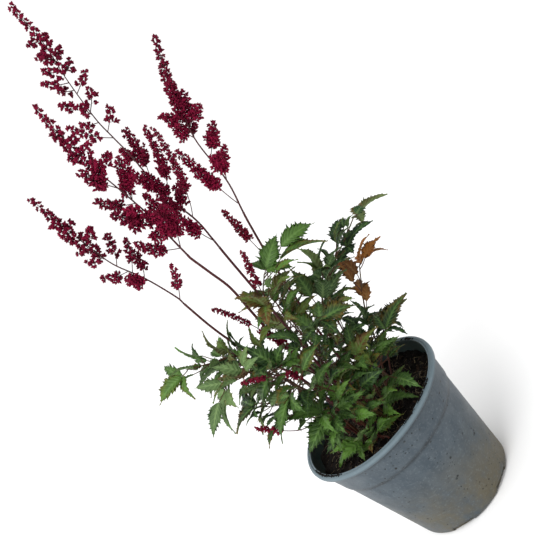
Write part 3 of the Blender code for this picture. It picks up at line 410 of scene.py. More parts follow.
def outline(share):
    """A leaflet's half width along its length, 1 at the widest: ovate, with a long point."""
    rise, fall = BLADE_POWERS
    return (share / BLADE_WIDEST) ** rise * ((1 - share) / (1 - BLADE_WIDEST)) ** fall


def on_blade(blade, share, side):
    """A place on a leaflet: share of its length, and side from -1 to 1 of its half width."""
    half = blade.half_width * outline(share)
    rise = 4 * BLADE_ARCH * blade.length * share * (1 - share) + BLADE_FOLD * abs(side) * half
    return (blade.foot + blade.along * (share * blade.length)
            + blade.across * (side * half) + blade.normal * rise)


def blade_between(foot, tip, lean, width):
    """A leaflet from its foot to its tip, its face turned up and outwards, rolled by lean."""
    along = (tip - foot).normalized()
    outwards = Vector((foot.x, foot.y, 0)).normalized()
    face = Vector((0, 0, 1)) + BLADE_FACE * outwards
    normal = (face - along * face.dot(along)).normalized()
    normal.rotate(Quaternion(along, math.radians(lean)))
    length = (tip - foot).length
    return Blade(foot, along, normal.cross(along), normal, length, width * length)


def blade_room(blade):
    """Places spread over a leaflet, close enough together to test its clearance."""
    steps = max(4, round(blade.length / BLADE_STEP))
    return [on_blade(blade, (step + 0.4) / steps, side)
            for step in range(steps) for side in (-0.9, -0.45, 0, 0.45, 0.9)]


def stalk_room(root, foot):
    """Places along a leaflet's stalk, clear of the stem that carries it."""
    steps = int((foot - root).length / STALK_STEP)
    return [root.lerp(foot, step / steps) for step in range(2, steps)]


def fit_blade(owner, part, root, foot, tip, width, lean, room):
    """A leaflet like the one asked for that keeps clear of the others, or None."""
    stalk = stalk_room(root, foot)
    if stalk and room.clearance(owner, stalk) < STALK_CLEARANCE:
        return None
    reach = tip - foot
    sideways = reach.cross(Vector((0, 0, 1))).normalized()
    for shrink, swing, dip in product(SHRINKS, SWINGS, DIPS):
        turned = reach.copy()
        turned.rotate(Quaternion((0, 0, 1), math.radians(swing)))
        turned.rotate(Quaternion(sideways, math.radians(dip)))
        blade = blade_between(foot, foot + turned * shrink, lean, width)
        places = blade_room(blade)
        if (above_pot(places) and room.clearance(owner, places) > LEAF_CLEARANCE
                and room.clearance(owner, places, part) > OWN_CLEARANCE):
            room.add(owner, places + stalk, 0, part)
            return blade
    return None


def above_pot(places):
    """Whether a leaflet is clear of the soil and of the pot's rim."""
    for place in places:
        radius = math.hypot(place.x, place.y)
        floor = SOIL_TOP if radius < RIM_INNER_RADIUS - 5 else POT_HEIGHT
        if radius < RIM_RADIUS + RIM_CLEARANCE and place.z < floor + RIM_CLEARANCE:
            return False
    return True


def side_blade(owner, part, blade, side, rng, room):
    """The smaller leaflet on one side of a leaflet's foot, or None."""
    way = blade.along.copy()
    way.rotate(Quaternion(blade.normal, math.radians(side * SIDE_ANGLE * rng.uniform(0.92, 1.1))))
    foot = blade.foot - blade.along * (SIDE_FOOT / 2) + way * LEAF_STALK_RADIUS
    tip = foot + way * (SIDE_LEAFLET * blade.length * rng.uniform(0.9, 1.1))
    width = rng.uniform(*SIDE_WIDTHS)
    return fit_blade(owner, part, foot, foot, tip, width, rng.uniform(-SIDE_LEAN, SIDE_LEAN), room)


def grow_frond(name, frond, room):
    """A frond's stem and its leaflets."""
    rng = random.Random(name)
    stem = rooted(frond.route, STEM_SPACING)
    leaflets = []
    for part, (share, tip, length, paired) in enumerate(frond.leaflets):
        tip = Vector(tip)
        root = at_share(stem, share)
        reach = tip - root
        bare = max(reach.length - length, LEAST_STALK * reach.length)
        foot = root + reach * (bare / reach.length)
        width = rng.uniform(*BLADE_WIDTHS)
        lean = rng.uniform(-BLADE_LEAN, BLADE_LEAN)
        blade = fit_blade(name, part, root, foot, tip, width, lean, room)
        if blade is None:
            continue
        sides = {side: side_blade(name, part, blade, side, rng, room)
                 for side in ((-1, 1) if paired else ())}
        leaflets.append(Leaflet(root, blade, sides))
    return stem, leaflets


def grow():
    """Every stalk, plume, shoot and frond, placed clear of one another."""
    room = Room()
    axes = {name: rooted(stalk.route, STEM_SPACING) for name, stalk in STALKS.items()}
    for name in STALKS:
        room.add(name, filled(axes[name], ROOM_SPACING), 0)
    for name, stem in {**SHOOTS, **FRONDS}.items():
        room.add(name, filled(rooted(stem.route, STEM_SPACING), ROOM_SPACING), 0)
    plumes = {name: grow_plume(name, STALKS[name], axes[name], room) for name in STALKS}
    shoots = {name: Spray(rooted(shoot.route, STEM_SPACING), SHOOT_RADII, shoot.bare, shoot.reach)
              for name, shoot in SHOOTS.items()}
    for name, shoot in shoots.items():
        head = [at_share(shoot.line, shoot.bare + (1 - shoot.bare) * i / 8) for i in range(9)]
        room.add(name, head, shoot.reach - 1)
    fronds = {name: grow_frond(name, frond, room) for name, frond in FRONDS.items()}
    return axes, plumes, shoots, fronds, room


def wall_radius(height):
    """Outer radius of the tapered wall under the lip."""
    collar_foot = POT_HEIGHT - COLLAR_HEIGHT
    if height >= collar_foot:
        share = (height - collar_foot) / (COLLAR_HEIGHT - LIP_HEIGHT)
        return between((COLLAR_RADIUS, NECK_RADIUS), share)
    share = (height - BASE_ROUNDING) / (collar_foot - BASE_ROUNDING)
    return between((BASE_RADIUS, COLLAR_RADIUS - COLLAR_STEP), share)


def inner_radius(height):
    """Inner radius of the pot's wall."""
    if height > POT_HEIGHT - LIP_HEIGHT:
        return RIM_INNER_RADIUS
    return min(wall_radius(height) - WALL, RIM_INNER_RADIUS)


def soil_height(x, y):
    """The soil's lumpy top."""
    return SOIL_TOP + SOIL_RELIEF * (math.sin(0.17 * x + 1.3) * math.cos(0.21 * y)
                                     + 0.6 * math.sin(0.39 * x - 0.33 * y))


def frames_along(points):
    """At each point of a line, its direction and one side of it, turning as little as possible."""
    ways = [(b - a).normalized() for a, b in zip(points, points[1:])]
    ways = [ways[0]] + [(a + b).normalized() for a, b in zip(ways, ways[1:])] + [ways[-1]]
    side = ways[0].orthogonal().normalized()
    frames = []
    for way in ways:
        side = (side - way * side.dot(way)).normalized()
        frames.append((way, side))
    return frames

# ---------------------------------------------------------------- finer sizes

# Leaflets
TOOTH_SPACING = 4.0
TOOTH_FACTORS = (0.66, 0.96, 0.82, 1.22)
RAGGED = 0.08
BRONZE_RAGGED = 0.24
LOBE_DEPTH = 0.07
LOBES = 3.5
ROWS_A_TOOTH = 4
LEAST_TEETH = 6
FIRST_ROW = 0.012
ROW_SPAN = 0.975
VEIN_PHASE = 3
HOOK = 0.030
SWEEP = 1.85
COLUMNS = (-1.0, -0.62, -0.32, 0.0, 0.32, 0.62, 1.0)
RIB = 3
RIB_SINK = 0.35
LEAF_SKIN = 0.32
DROOPS = (0.03, 0.20)
DROOP_POWER = 2.6
FOLDS = (0.7, 1.5)
WAVES = 9
QUILT = 0.8
RIPPLE = 0.12
SMOOTH_SPACING = 4.0
EXTRA_TRIES = 60
EXTRA_CLEARANCE = 1.9
EXTRA_LENGTHS = (16, 30)
EXTRA_WIDTHS = (0.21, 0.28)
EXTRA_SHARES = (0.5, 1.0)
EXTRA_RISES = (-0.25, 0.75)
EXTRA_STALKS = (7, 20)
EXTRA_LEAN = 40
MOST_INWARDS = -0.35
BOX_SPARE = 2
BARE_FRONDS = ("frond_soil_right", "frond_right", "frond_right_low", "frond_brown")
SLIMMER = {"frond_brown": 0.92, "frond_left": 0.82, "frond_left_pale": 0.8}
HEART = (22, -10, 262)
HEART_RADIUS = 60.0
BRONZE_SHARE = 0.34
AGE_POWER = 5
TURNED_TONES = (1.35, 2.0)
TONE_SPREAD = 0.3
BLADE_TONE_SPREAD = 0.12
PETIOLE_RADII = (0.62, 0.45)
STALK_SLOT = 2
FROND_TONES = {"frond_top_right": 0.25, "frond_left_pale": 0.95, "frond_left": 0.8,
               "frond_top": 0.75, "frond_right": 0.3, "frond_dark": 0.1, "frond_middle": 0.4,
               "frond_soil_right": 0.45, "frond_front_low": 0.6, "frond_heart": 0.3,
               "frond_soil_left": 0.95, "frond_centre": 0.35}

# Leaflets that only these finer fronds have: the share of the stem where the stalk leaves, foot,
# tip, roll in degrees, half width as a share of the length, and tone.
Placed = namedtuple("Placed", "share foot tip lean width tone")
PLACED = {
    "frond_left": [Placed(0.66, (-29, -12, 269), (-29, -20, 300), 0, 0.33, 0.35),
                   Placed(0.60, (-21, -2, 261), (-15, 0, 285), 25, 0.28, 1.7),
                   Placed(0.76, (-35, -16, 285), (-22, -18, 309), -20, 0.22, 0.45)],
    "frond_rear": [Placed(0.74, (6, 52, 236), (-8, 50, 268), 10, 0.29, 1.8)],
    "frond_top": [Placed(0.98, (61, -22, 316), (100, -14, 307), 36, 0.22, 0.7)],
    "frond_left_pale": [Placed(1.0, (-78, -58, 277), (-106, -60, 261), -40, 0.25, 0.7)],
    "frond_brown": [Placed(1.0, (109, 46, 224), (136, 44, 227), 50, 0.30, 0.9)],
}

# Florets
BUD_SIZE = (2.9, 4.3)
BRANCH_SPACING = 0.70
BUD_STEP = 0.95
SPRAY_FULLNESS = 1.1
SHOOT_FULLNESS = {"shoot_top": 0.72, "shoot_left": 0.6, "shoot_front": 0.5, "shoot_low": 0.52,
                  "shoot_pink": 0.7}
SHOOT_GAPS = {"shoot_front": (0.26, 0.62), "shoot_left": (0.36, 0.5), "shoot_low": (0.3, 0.42)}
NO_GAP = (2.0, 2.0)
SOLID = (1000.0, 0.0)
LOOSE_SPACING = 2.3
LOOSE_TUFT = 7
LOOSE_RISE = 22.0
TIP_LOOSENESS = 0.45
LOOSE_FROM = {"stalk_rear": (478, 0.8), "stalk_left": (398, 0.75), "stalk_front": (470, 0.7),
              "stalk_right": (475, 0.45), "shoot_front": (150, 0.8), "shoot_pink": (150, 0.6)}
GOLDEN_ANGLE = 2.39996
BRANCH_SWING = 0.3
BRANCH_LENGTHS = (0.62, 1.14)
BRANCH_RISES = (0.35, 0.95)
BUD_STEPS = (0.8, 1.25)
BUD_TONE_SPREAD = 0.22
SPRAY_SPACING = 3.0
LEAST_BRANCH = 3
BRANCH_RADII = (0.24, 0.16)
TIP_BUDS = 4
TIP_BUD_SIZE = 2.1

# The camera
FRAME_PIXELS = 540
FOCAL_PIXELS = 850.5
CAMERA_PLACE = (38.6, -758.8, 520.0)
CAMERA_PITCH = 15.946
CAMERA_ROLL = -49.429


# ---------------------------------------------------------------- meshes

def shown(name, data):
    """An object with this data, in the scene."""
    thing = bpy.data.objects.new(name, data)
    bpy.context.scene.collection.objects.link(thing)
    return thing


def solid_of(bm, name):
    """An object with what a bmesh holds, which is then freed."""
    mesh = bpy.data.meshes.new(name)
    bm.to_mesh(mesh)
    bm.free()
    return shown(name, mesh)


def stand_in(piece, node):
    """The piece rides on the one body and replaces a node."""
    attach(piece, "root")
    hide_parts(node)


class Skin:
    """Gathers points, faces, materials and a tint for each point, and makes one mesh of them."""

    def __init__(self):
        self.points, self.tints, self.faces, self.slots = [], [], [], []
        self.count = 0

    def add(self, points, faces, slots, tint):
        """Take in points, faces that count from 0, and slots and tints, for all or for each."""
        self.points.append(np.asarray(points, float))
        self.tints.append(np.broadcast_to(np.asarray(tint, float), (len(points), 3)))
        self.faces += [tuple(int(i) + self.count for i in face) for face in faces]
        self.slots += np.broadcast_to(slots, len(faces)).tolist()
        self.count += len(points)

    def make(self, name, materials):
        """The object, in metres, with its tint as a colour attribute."""
        mesh = bpy.data.meshes.new(name)
        mesh.from_pydata((np.vstack(self.points) * MM).tolist(), [], self.faces)
        for material in materials:
            mesh.materials.append(material)
        mesh.polygons.foreach_set("material_index", self.slots)
        mesh.polygons.foreach_set("use_smooth", [True] * len(self.faces))
        tint = mesh.color_attributes.new("tint", "FLOAT_COLOR", "POINT")
        colours = np.ones((self.count, 4))
        colours[:, :3] = np.vstack(self.tints)
        tint.data.foreach_set("color", colours.ravel())
        mesh.validate()
        mesh.update()
        return shown(name, mesh)


def ring(radius, height, sides):
    """Points round a level circle."""
    angles = [math.tau * i / sides for i in range(sides)]
    return [(radius * math.cos(angle), radius * math.sin(angle), height) for angle in angles]


def bands(rows, sides):
    """The faces between rings of points that follow one another."""
    return [(k * sides + i, k * sides + j, (k + 1) * sides + j, (k + 1) * sides + i)
            for k in range(rows - 1) for i, j in around(sides)]


def around(sides):
    """The number of each corner of a ring with the next one's."""
    return [(i, (i + 1) % sides) for i in range(sides)]


def seeded(name):
    """A random source of its own for each named piece."""
    return np.random.default_rng(zlib.crc32(name.encode()))


def held(value):
    """A value held between 0 and 1."""
    return min(1, max(0, value))


def smooth_line(points, spacing=SMOOTH_SPACING):
    """A finer smooth line through the points of a stem."""
    return curve_through([tuple(p) for p in points], spacing)


def nearest(line, place):
    """The point of a line nearest to a place."""
    return min(line, key=lambda p: (p - place).length_squared)


def add_tube(skin, points, radii, sides, slot, tone):
    """A closed round stem through a line of points, its radius going from one to another."""
    lengths = np.cumsum([0.0] + [(b - a).length for a, b in zip(points, points[1:])])
    corners = []
    for place, (way, side), length in zip(points, frames_along(points), lengths):
        radius = between(radii, float(length / lengths[-1]))
        other = way.cross(side)
        corners += [place + radius * (x * side + y * other) for x, y, z in ring(1, 0, sides)]
    top = range(len(corners) - sides, len(corners))
    faces = bands(len(points), sides) + [tuple(top), tuple(reversed(range(sides)))]
    skin.add([tuple(p) for p in corners], faces, slot, (tone, 0, 0))


# ---------------------------------------------------------------- leaflets

def add_blade(skin, blade, rng, tone, age, ragged):
    """A serrate leaflet: puckered between sunken veins, with a drooping point and a pale back.

    Its rows run from foot to tip, ROWS_A_TOOTH to a tooth, and its columns from edge to edge.
    """
    rows = ROWS_A_TOOTH * max(LEAST_TEETH, round(blade.length / TOOTH_SPACING))
    width = len(COLUMNS)
    k = np.arange(rows)
    edge = FIRST_ROW + ROW_SPAN * k / (rows - 1)
    phase = k % ROWS_A_TOOTH
    factor = np.choose(phase, TOOTH_FACTORS) * (1 + ragged * rng.standard_normal(rows))
    factor = factor * (1 + LOBE_DEPTH * np.sin(math.tau * LOBES * edge + rng.uniform(0, math.tau)))
    cols = np.array(COLUMNS)
    reach = np.abs(cols)
    share = (edge ** SWEEP)[:, None] * (1 - reach)[None] + edge[:, None] * reach[None]
    wide = np.maximum(outline(edge), 0.03)
    margin = np.where(reach == 1.0, 1.0, 0.0)
    tooth = 1 + margin[None] * (factor - 1)[:, None]
    sideways = cols[None] * (blade.half_width * wide)[:, None] * tooth
    hook = (phase == VEIN_PHASE) * HOOK * blade.length
    forward = share * blade.length + margin[None] * hook[:, None]
    droop = rng.uniform(*DROOPS)
    wave = rng.uniform(0, math.tau)
    fold = BLADE_FOLD * rng.uniform(*FOLDS)
    rise = 4 * BLADE_ARCH * blade.length * share * (1 - share) + fold * np.abs(sideways)
    rise -= droop * blade.length * share ** DROOP_POWER
    ripple = RIPPLE * blade.half_width * np.sin(WAVES * edge + wave)
    rise += ripple[:, None] * reach[None] ** 2 * np.sign(cols)[None]
    quilt = np.where(phase == VEIN_PHASE, -1.0, np.where(phase == 1, 0.9, 0.1))
    puckers = QUILT * quilt[:, None] * (reach * (1.15 - reach) * 3)[None]
    rise += puckers * np.minimum(1, wide * 2)[:, None]
    rise[:, RIB] -= RIB_SINK
    foot, along, across, normal = (np.array(vector) for vector in blade[:4])
    top = (foot + along * forward[..., None] + across * sideways[..., None]
           + normal * rise[..., None])
    tip = foot + along * blade.length - normal * droop * blade.length
    under = top[:, 1:-1] - normal * LEAF_SKIN
    points = np.vstack([top.reshape(-1, 3), under.reshape(-1, 3), tip[None]])
    upper = np.arange(rows * width).reshape(rows, width)
    lower = upper.copy()
    lower[:, 1:-1] = rows * width + np.arange(rows * (width - 2)).reshape(rows, width - 2)
    vein = np.zeros((rows, width))
    vein[phase == VEIN_PHASE, :] = 0.75
    vein[:, RIB] = 1.0
    vein[:, [0, -1]] *= 0.3
    rim = np.tile(np.where(reach == 1.0, 1.0, np.where(reach > 0.6, 0.35, 0.0)), (rows, 1))
    rim = np.maximum(rim, (share > 0.86) * 0.8) * age
    tints = np.stack([vein, rim, np.full((rows, width), tone)], axis=-1)
    tint = np.vstack([tints.reshape(-1, 3), tints[:, 1:-1].reshape(-1, 3), [[0.4, age, tone]]])
    faces, slots = [], []
    for slot, grid, turn in ((0, upper, (0, 1, 2, 3)), (1, lower, (0, 3, 2, 1))):
        corners = [grid[:-1, :-1], grid[:-1, 1:], grid[1:, 1:], grid[1:, :-1]]
        cells = np.stack(corners, axis=-1).reshape(-1, 4)
        pairs = zip(grid[-1], grid[-1, 1:]) if slot == 0 else zip(grid[-1, 1:], grid[-1])
        ends = [(a, b, len(points) - 1) for a, b in pairs]
        faces += cells[:, turn].tolist() + ends
        slots += [slot] * (len(cells) + len(ends))
    skin.add(points, faces, slots, tint)


def petiole(root, foot):
    """A leaflet's stalk, which sags a little between its stem and its blade."""
    steps = max(3, round((foot - root).length / 4))
    sag = 0.05 * (foot - root).length
    return [root.lerp(foot, i / steps) - Vector((0, 0, 4 * sag * (i / steps) * (1 - i / steps)))
            for i in range(steps + 1)]


def placed_leaflets(name, stem, room):
    """The leaflets with places of their own, each with its tone."""
    found = []
    for placed in PLACED.get(name, []):
        blade = blade_between(Vector(placed.foot), Vector(placed.tip), placed.lean, placed.width)
        room.add(name, blade_room(blade), 0)
        found.append((Leaflet(at_share(stem, placed.share), blade, {}), placed.tone))
    return found


def extra_leaflets(name, stem, room, rng):
    """Smaller leaflets between the main ones, which fill the frond out."""
    found = []
    for attempt in range(EXTRA_TRIES):
        root = at_share(stem, rng.uniform(*EXTRA_SHARES))
        azimuth = rng.uniform(0, math.tau)
        rise = rng.uniform(*EXTRA_RISES)
        way = Vector((math.cos(azimuth), math.sin(azimuth), rise)).normalized()
        out = Vector((root.x, root.y, 0))
        if out.length > 1 and way.dot(out.normalized()) < MOST_INWARDS:
            continue
        foot = root + way * rng.uniform(*EXTRA_STALKS)
        tip = foot + way * rng.uniform(*EXTRA_LENGTHS)
        lean = rng.uniform(-EXTRA_LEAN, EXTRA_LEAN)
        blade = blade_between(foot, tip, lean, rng.uniform(*EXTRA_WIDTHS))
        places = blade_room(blade)
        if not above_pot(places) or not inside_box(places):
            continue
        if room.clearance("", places + stalk_room(root, foot)) < EXTRA_CLEARANCE:
            continue
        room.add(name, places, 0)
        found.append((Leaflet(root, blade, {}), None))
    return found


def inside_box(places):
    """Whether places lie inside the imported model's box, with a little to spare."""
    low, high = cad_box
    return all(low[i] / MM + BOX_SPARE < place[i] < high[i] / MM - BOX_SPARE
               for place in places for i in range(3))


def make_frond_piece(name, grown, extras, materials):
    """One frond: stem, leaflets on their stalks, and the smaller leaflets."""
    stem, leaflets = grown
    rng = seeded(name)
    skin = Skin()
    line = smooth_line(stem)
    add_tube(skin, line, (FROND_RADII[0], FROND_RADII[1] * 0.85), 8, STALK_SLOT, rng.uniform(0, 1))
    tone = FROND_TONES.get(name, rng.uniform(0.2, 0.8))
    for leaflet, own_tone in [(leaflet, None) for leaflet in leaflets] + extras:
        stalk = petiole(nearest(line, leaflet.root), leaflet.blade.foot)
        add_tube(skin, stalk, PETIOLE_RADII, 6, STALK_SLOT, rng.uniform(0, 1))
        near = tone + rng.uniform(-TONE_SPREAD, TONE_SPREAD)
        heart = (leaflet.blade.foot - Vector(HEART)).length / HEART_RADIUS
        turned = rng.uniform(0, 1) < BRONZE_SHARE * max(0.15, 1.3 - heart)
        for blade in [leaflet.blade] + [side for side in leaflet.sides.values() if side]:
            blade = blade._replace(half_width=SLIMMER.get(name, 1.0) * blade.half_width)
            shade = held(near + rng.uniform(-BLADE_TONE_SPREAD, BLADE_TONE_SPREAD))
            if turned:
                shade = rng.uniform(*TURNED_TONES)
            if own_tone is not None:
                shade = own_tone
            add_blade(skin, blade, rng, shade, rng.uniform(0, 1) ** AGE_POWER,
                      BRONZE_RAGGED if name == "frond_brown" else RAGGED)
    stand_in(skin.make(name.replace("frond", "leaf"), materials), name)


# ---------------------------------------------------------------- florets

def bud_shape():
    """A pointed bud of length 1 along its third axis: its points and faces."""
    sides = 5
    points = [(0, 0, 0)] + ring(0.33, 0.28, sides) + ring(0.25, 0.64, sides) + [(0, 0, 1)]
    faces = []
    for i, j in around(sides):
        faces += [(0, 1 + j, 1 + i), (1 + i, 1 + j, 6 + j, 6 + i), (6 + i, 6 + j, 11)]
    return np.array(points), faces


def add_buds(skin, buds):
    """A bud for each place, way, size and tone."""
    shape, faces = BUD
    places, ways, sizes, tones = (np.array(values) for values in zip(*buds))
    ways /= np.linalg.norm(ways, axis=1)[:, None]
    helper = np.where(np.abs(ways[:, 2:3]) < 0.9, [[0, 0, 1.0]], [[1.0, 0, 0]])
    side = np.cross(ways, helper)
    side /= np.linalg.norm(side, axis=1)[:, None]
    basis = np.stack([side, np.cross(ways, side), ways], axis=1)
    points = places[:, None] + np.einsum("pk,nkc->npc", shape, basis) * sizes[:, None, None]
    count = len(shape)
    tints = np.zeros((len(buds), count, 3))
    tints[..., 0] = tones[:, None]
    tints[..., 1] = shape[:, 2][None]
    every = [tuple(i + n * count for i in face) for n in range(len(buds)) for face in faces]
    skin.add(points.reshape(-1, 3), every, 0, tints.reshape(-1, 3))


def looseness(height, open_share, loose):
    """How tufted a spray is at a height: 0 where it is solid, 1 where its tufts stand apart."""
    start, most = loose
    return max(most * held((height - start) / LOOSE_RISE), TIP_LOOSENESS * open_share ** 2)


def sideways_of(way, turn):
    """A direction square to a way, turned round it by an angle."""
    return Quaternion(way, turn) @ way.orthogonal().normalized()


def add_spray(skin, spray, line, rng, fullness, loose=SOLID, gap=NO_GAP):
    """A spray: its stem, and buds on short branchlets all round it, longest at its foot.

    Where it is loose, the branchlets stand apart and carry their buds in a tuft at the end.
    Between the two shares of its gap it is bare.
    """
    line = smooth_line(line, SPRAY_SPACING)
    add_tube(skin, line, (spray.radii[0] * 0.8, 0.3), 6, 1, 0.3)
    total = sum((b - a).length for a, b in zip(line, line[1:]))
    frames = frames_along(line)
    spacing = BRANCH_SPACING * (1.75 - 0.75 * held((spray.reach - 3.4) / 2.4))
    angle = rng.uniform(0, math.tau)
    run = spray.bare * total
    buds = []
    tone = rng.uniform(0.2, 0.8)

    def shade(free):
        return held(tone - 0.3 * free + rng.normal(0, BUD_TONE_SPREAD))

    while run < total - 0.5:
        share = run / total
        open_share = (share - spray.bare) / (1 - spray.bare)
        if gap[0] < open_share < gap[1]:
            run += spacing
            continue
        place = at_share(line, share)
        way, side = frames[min(len(frames) - 1, int(share * (len(frames) - 1)))]
        angle += GOLDEN_ANGLE + rng.uniform(-BRANCH_SWING, BRANCH_SWING)
        out = Quaternion(way, angle) @ side
        reach = fullness * spray.reach * (1.28 - 0.85 * open_share)
        reach = float(reach * rng.uniform(*BRANCH_LENGTHS))
        free = looseness(place.z, open_share, loose)
        go = (out + float(rng.uniform(*BRANCH_RISES)) * way).normalized()
        if reach > LEAST_BRANCH:
            add_tube(skin, [place, place + go * reach * 0.8], BRANCH_RADII, 3, 1, 0.3)
        step = 0.8 + 0.35 * free * reach
        turn = rng.uniform(0, math.tau)
        while step < reach:
            turn += GOLDEN_ANGLE
            tilt = (0.9 * sideways_of(go, turn) + 0.55 * go).normalized()
            buds.append((place + go * step + 0.25 * tilt, tilt,
                         rng.uniform(*BUD_SIZE) * (1 - 0.25 * open_share), shade(free)))
            step += BUD_STEP * float(rng.uniform(*BUD_STEPS))
        for i in range(round(LOOSE_TUFT * free)):
            turn += GOLDEN_ANGLE
            buds.append((place + go * reach * rng.uniform(0.7, 1.0),
                         sideways_of(go, turn) + rng.uniform(-0.2, 0.9) * go,
                         rng.uniform(*BUD_SIZE) * 0.8, shade(free)))
        buds.append((place + go * (reach - 0.6), go,
                     rng.uniform(*BUD_SIZE) * (1 - 0.2 * open_share), shade(0)))
        apart = spacing + (LOOSE_SPACING - spacing) * free
        run += apart * float(rng.uniform(0.75, 1.25)) * (0.8 + 0.5 * open_share * (1 - free))
    way, side = frames[-1]
    for i in range(TIP_BUDS):
        tilt = way + 0.5 * (Quaternion(way, i * 1.7) @ side)
        buds.append((line[-1] - way * (2.2 + 0.3 * i), tilt, TIP_BUD_SIZE, tone))
    add_buds(skin, buds)


def make_plume_piece(name, sprays, materials):
    """The plume on one stalk: every spray with its buds."""
    rng = seeded(name)
    skin = Skin()
    upper = smooth_line(sprays[0].line)
    for index, spray in enumerate(sprays):
        line = list(spray.line)
        if index:
            line[0] = nearest(upper, line[0])
        add_spray(skin, spray, line, rng, SPRAY_FULLNESS, LOOSE_FROM[name])
    piece = skin.make(name.replace("stalk", "blossom"), materials)
    stand_in(piece, name.replace("stalk", "plume"))


def make_stalk_piece(name, axis, materials):
    """The bare lower part of a flower stalk."""
    stalk = STALKS[name]
    lower = [p for p in axis if p.z < stalk.plume_from - 2] + [at_height(axis, stalk.plume_from)]
    skin = Skin()
    radii = (stalk.radii[0], stalk.radii[0] * 0.72)
    add_tube(skin, smooth_line(lower), radii, 12, 0, seeded(name + "_stem").uniform(0.2, 0.8))
    stand_in(skin.make(name.replace("stalk", "cane"), materials), name)


def make_shoot_piece(name, spray, materials):
    """A thin flowering shoot with buds at its end."""
    skin = Skin()
    add_spray(skin, spray, spray.line, seeded(name), SHOOT_FULLNESS[name],
              LOOSE_FROM.get(name, SOLID), SHOOT_GAPS.get(name, NO_GAP))
    stand_in(skin.make(name.replace("shoot", "sprig"), materials), name)


# ---------------------------------------------------------------- the pot

LATHE_SIDES = 168
GROOVE_RADIUS = RIM_INNER_RADIUS + 2.1
GROOVE_DEPTH = 0.95
DIRT_SPECKS = 46
DIRT_LIFT = 0.3
DIRT_DEPTH = 0.12
DIRT_PLACES = (-166, -157, -146, -76, -61, -50, 20, 84, 150)


def from_corner(radius, height, steps):
    """Places of the profile given as steps outwards and up from one corner of it."""
    return [(radius + out, height + up) for out, up in steps]


def on_wall(start, end, steps):
    """Places down the tapered wall between two heights."""
    heights = [between((start, end), i / steps) for i in range(1, steps)]
    return [(wall_radius(height), height) for height in heights]


def lathe_profile():
    """Radius and height round the wall: over the rounded lip, down the outside, back up inside."""
    lip_foot = POT_HEIGHT - LIP_HEIGHT
    collar_foot = POT_HEIGHT - COLLAR_HEIGHT
    outside = (
        from_corner(RIM_INNER_RADIUS, POT_HEIGHT, [(0.7, -0.15), (1.1, -0.05), (1.5, -0.25)])
        + from_corner(GROOVE_RADIUS, POT_HEIGHT, [(-0.3, -GROOVE_DEPTH), (0.3, -GROOVE_DEPTH),
                                                  (0.65, -0.2), (1.1, 0)])
        + from_corner(RIM_RADIUS, POT_HEIGHT, [(-2.4, 0), (-1.2, -0.25), (-0.35, -0.9), (0, -1.9)])
        + from_corner(RIM_RADIUS, lip_foot, [(0, 1.0), (-0.25, 0.35), (-0.9, 0)])
        + from_corner(NECK_RADIUS, lip_foot, [(0.4, -0.1), (0, -0.6)])
        + on_wall(lip_foot - 0.6, collar_foot + 0.9, 9)
        + from_corner(COLLAR_RADIUS, collar_foot, [(0.05, 0.6), (-0.25, 0.1)])
        + from_corner(COLLAR_RADIUS - COLLAR_STEP, collar_foot, [(0.2, -0.5), (0, -1.2)])
        + on_wall(collar_foot - 1.2, BASE_ROUNDING, 24)
        + from_corner(BASE_RADIUS, 0, [(0, BASE_ROUNDING), (-0.35, 2.4), (-1.2, 1.2), (-2.4, 0.35),
                                       (-4.0, 0), (-12, 0), (-13, 1.1)])
        + [(14.0, 1.1), (13.0, 0.6), (0.0, 0.6)])
    inside = [(0.0, WALL), (wall_radius(BASE_ROUNDING) - WALL - 1.5, WALL)]
    inside += [(inner_radius(height), height)
               for height in (6.0, collar_foot - 1, collar_foot, lip_foot)]
    return outside, inside + from_corner(RIM_INNER_RADIUS, POT_HEIGHT, [(0, -1.4), (0.3, -0.5)])


def make_pot_piece(materials):
    """The pot: a smooth turned shell with drainage notches, and a dark inside."""
    outside, inside = lathe_profile()
    line = outside + inside
    bm = bmesh.new()
    rings = [[bm.verts.new(place) for place in ring(radius, height, LATHE_SIDES)] if radius
             else [bm.verts.new((0, 0, height))] * LATHE_SIDES for radius, height in line]
    for index, (radius, height) in enumerate(line):
        following = (index + 1) % len(line)
        if radius == line[following][0] == 0:
            continue
        lower, upper = rings[index], rings[following]
        for i, j in around(LATHE_SIDES):
            face = bm.faces.new(dict.fromkeys((lower[i], upper[i], upper[j], lower[j])))
            face.material_index = 0 if index < len(outside) else 1
            face.smooth = True
    bmesh.ops.recalc_face_normals(bm, faces=bm.faces)
    bmesh.ops.scale(bm, vec=(MM, MM, MM), verts=bm.verts)
    pot = solid_of(bm, "nursery_pot")
    for material in materials:
        pot.data.materials.append(material)
    cut_notches(pot)
    stand_in(pot, "pot")


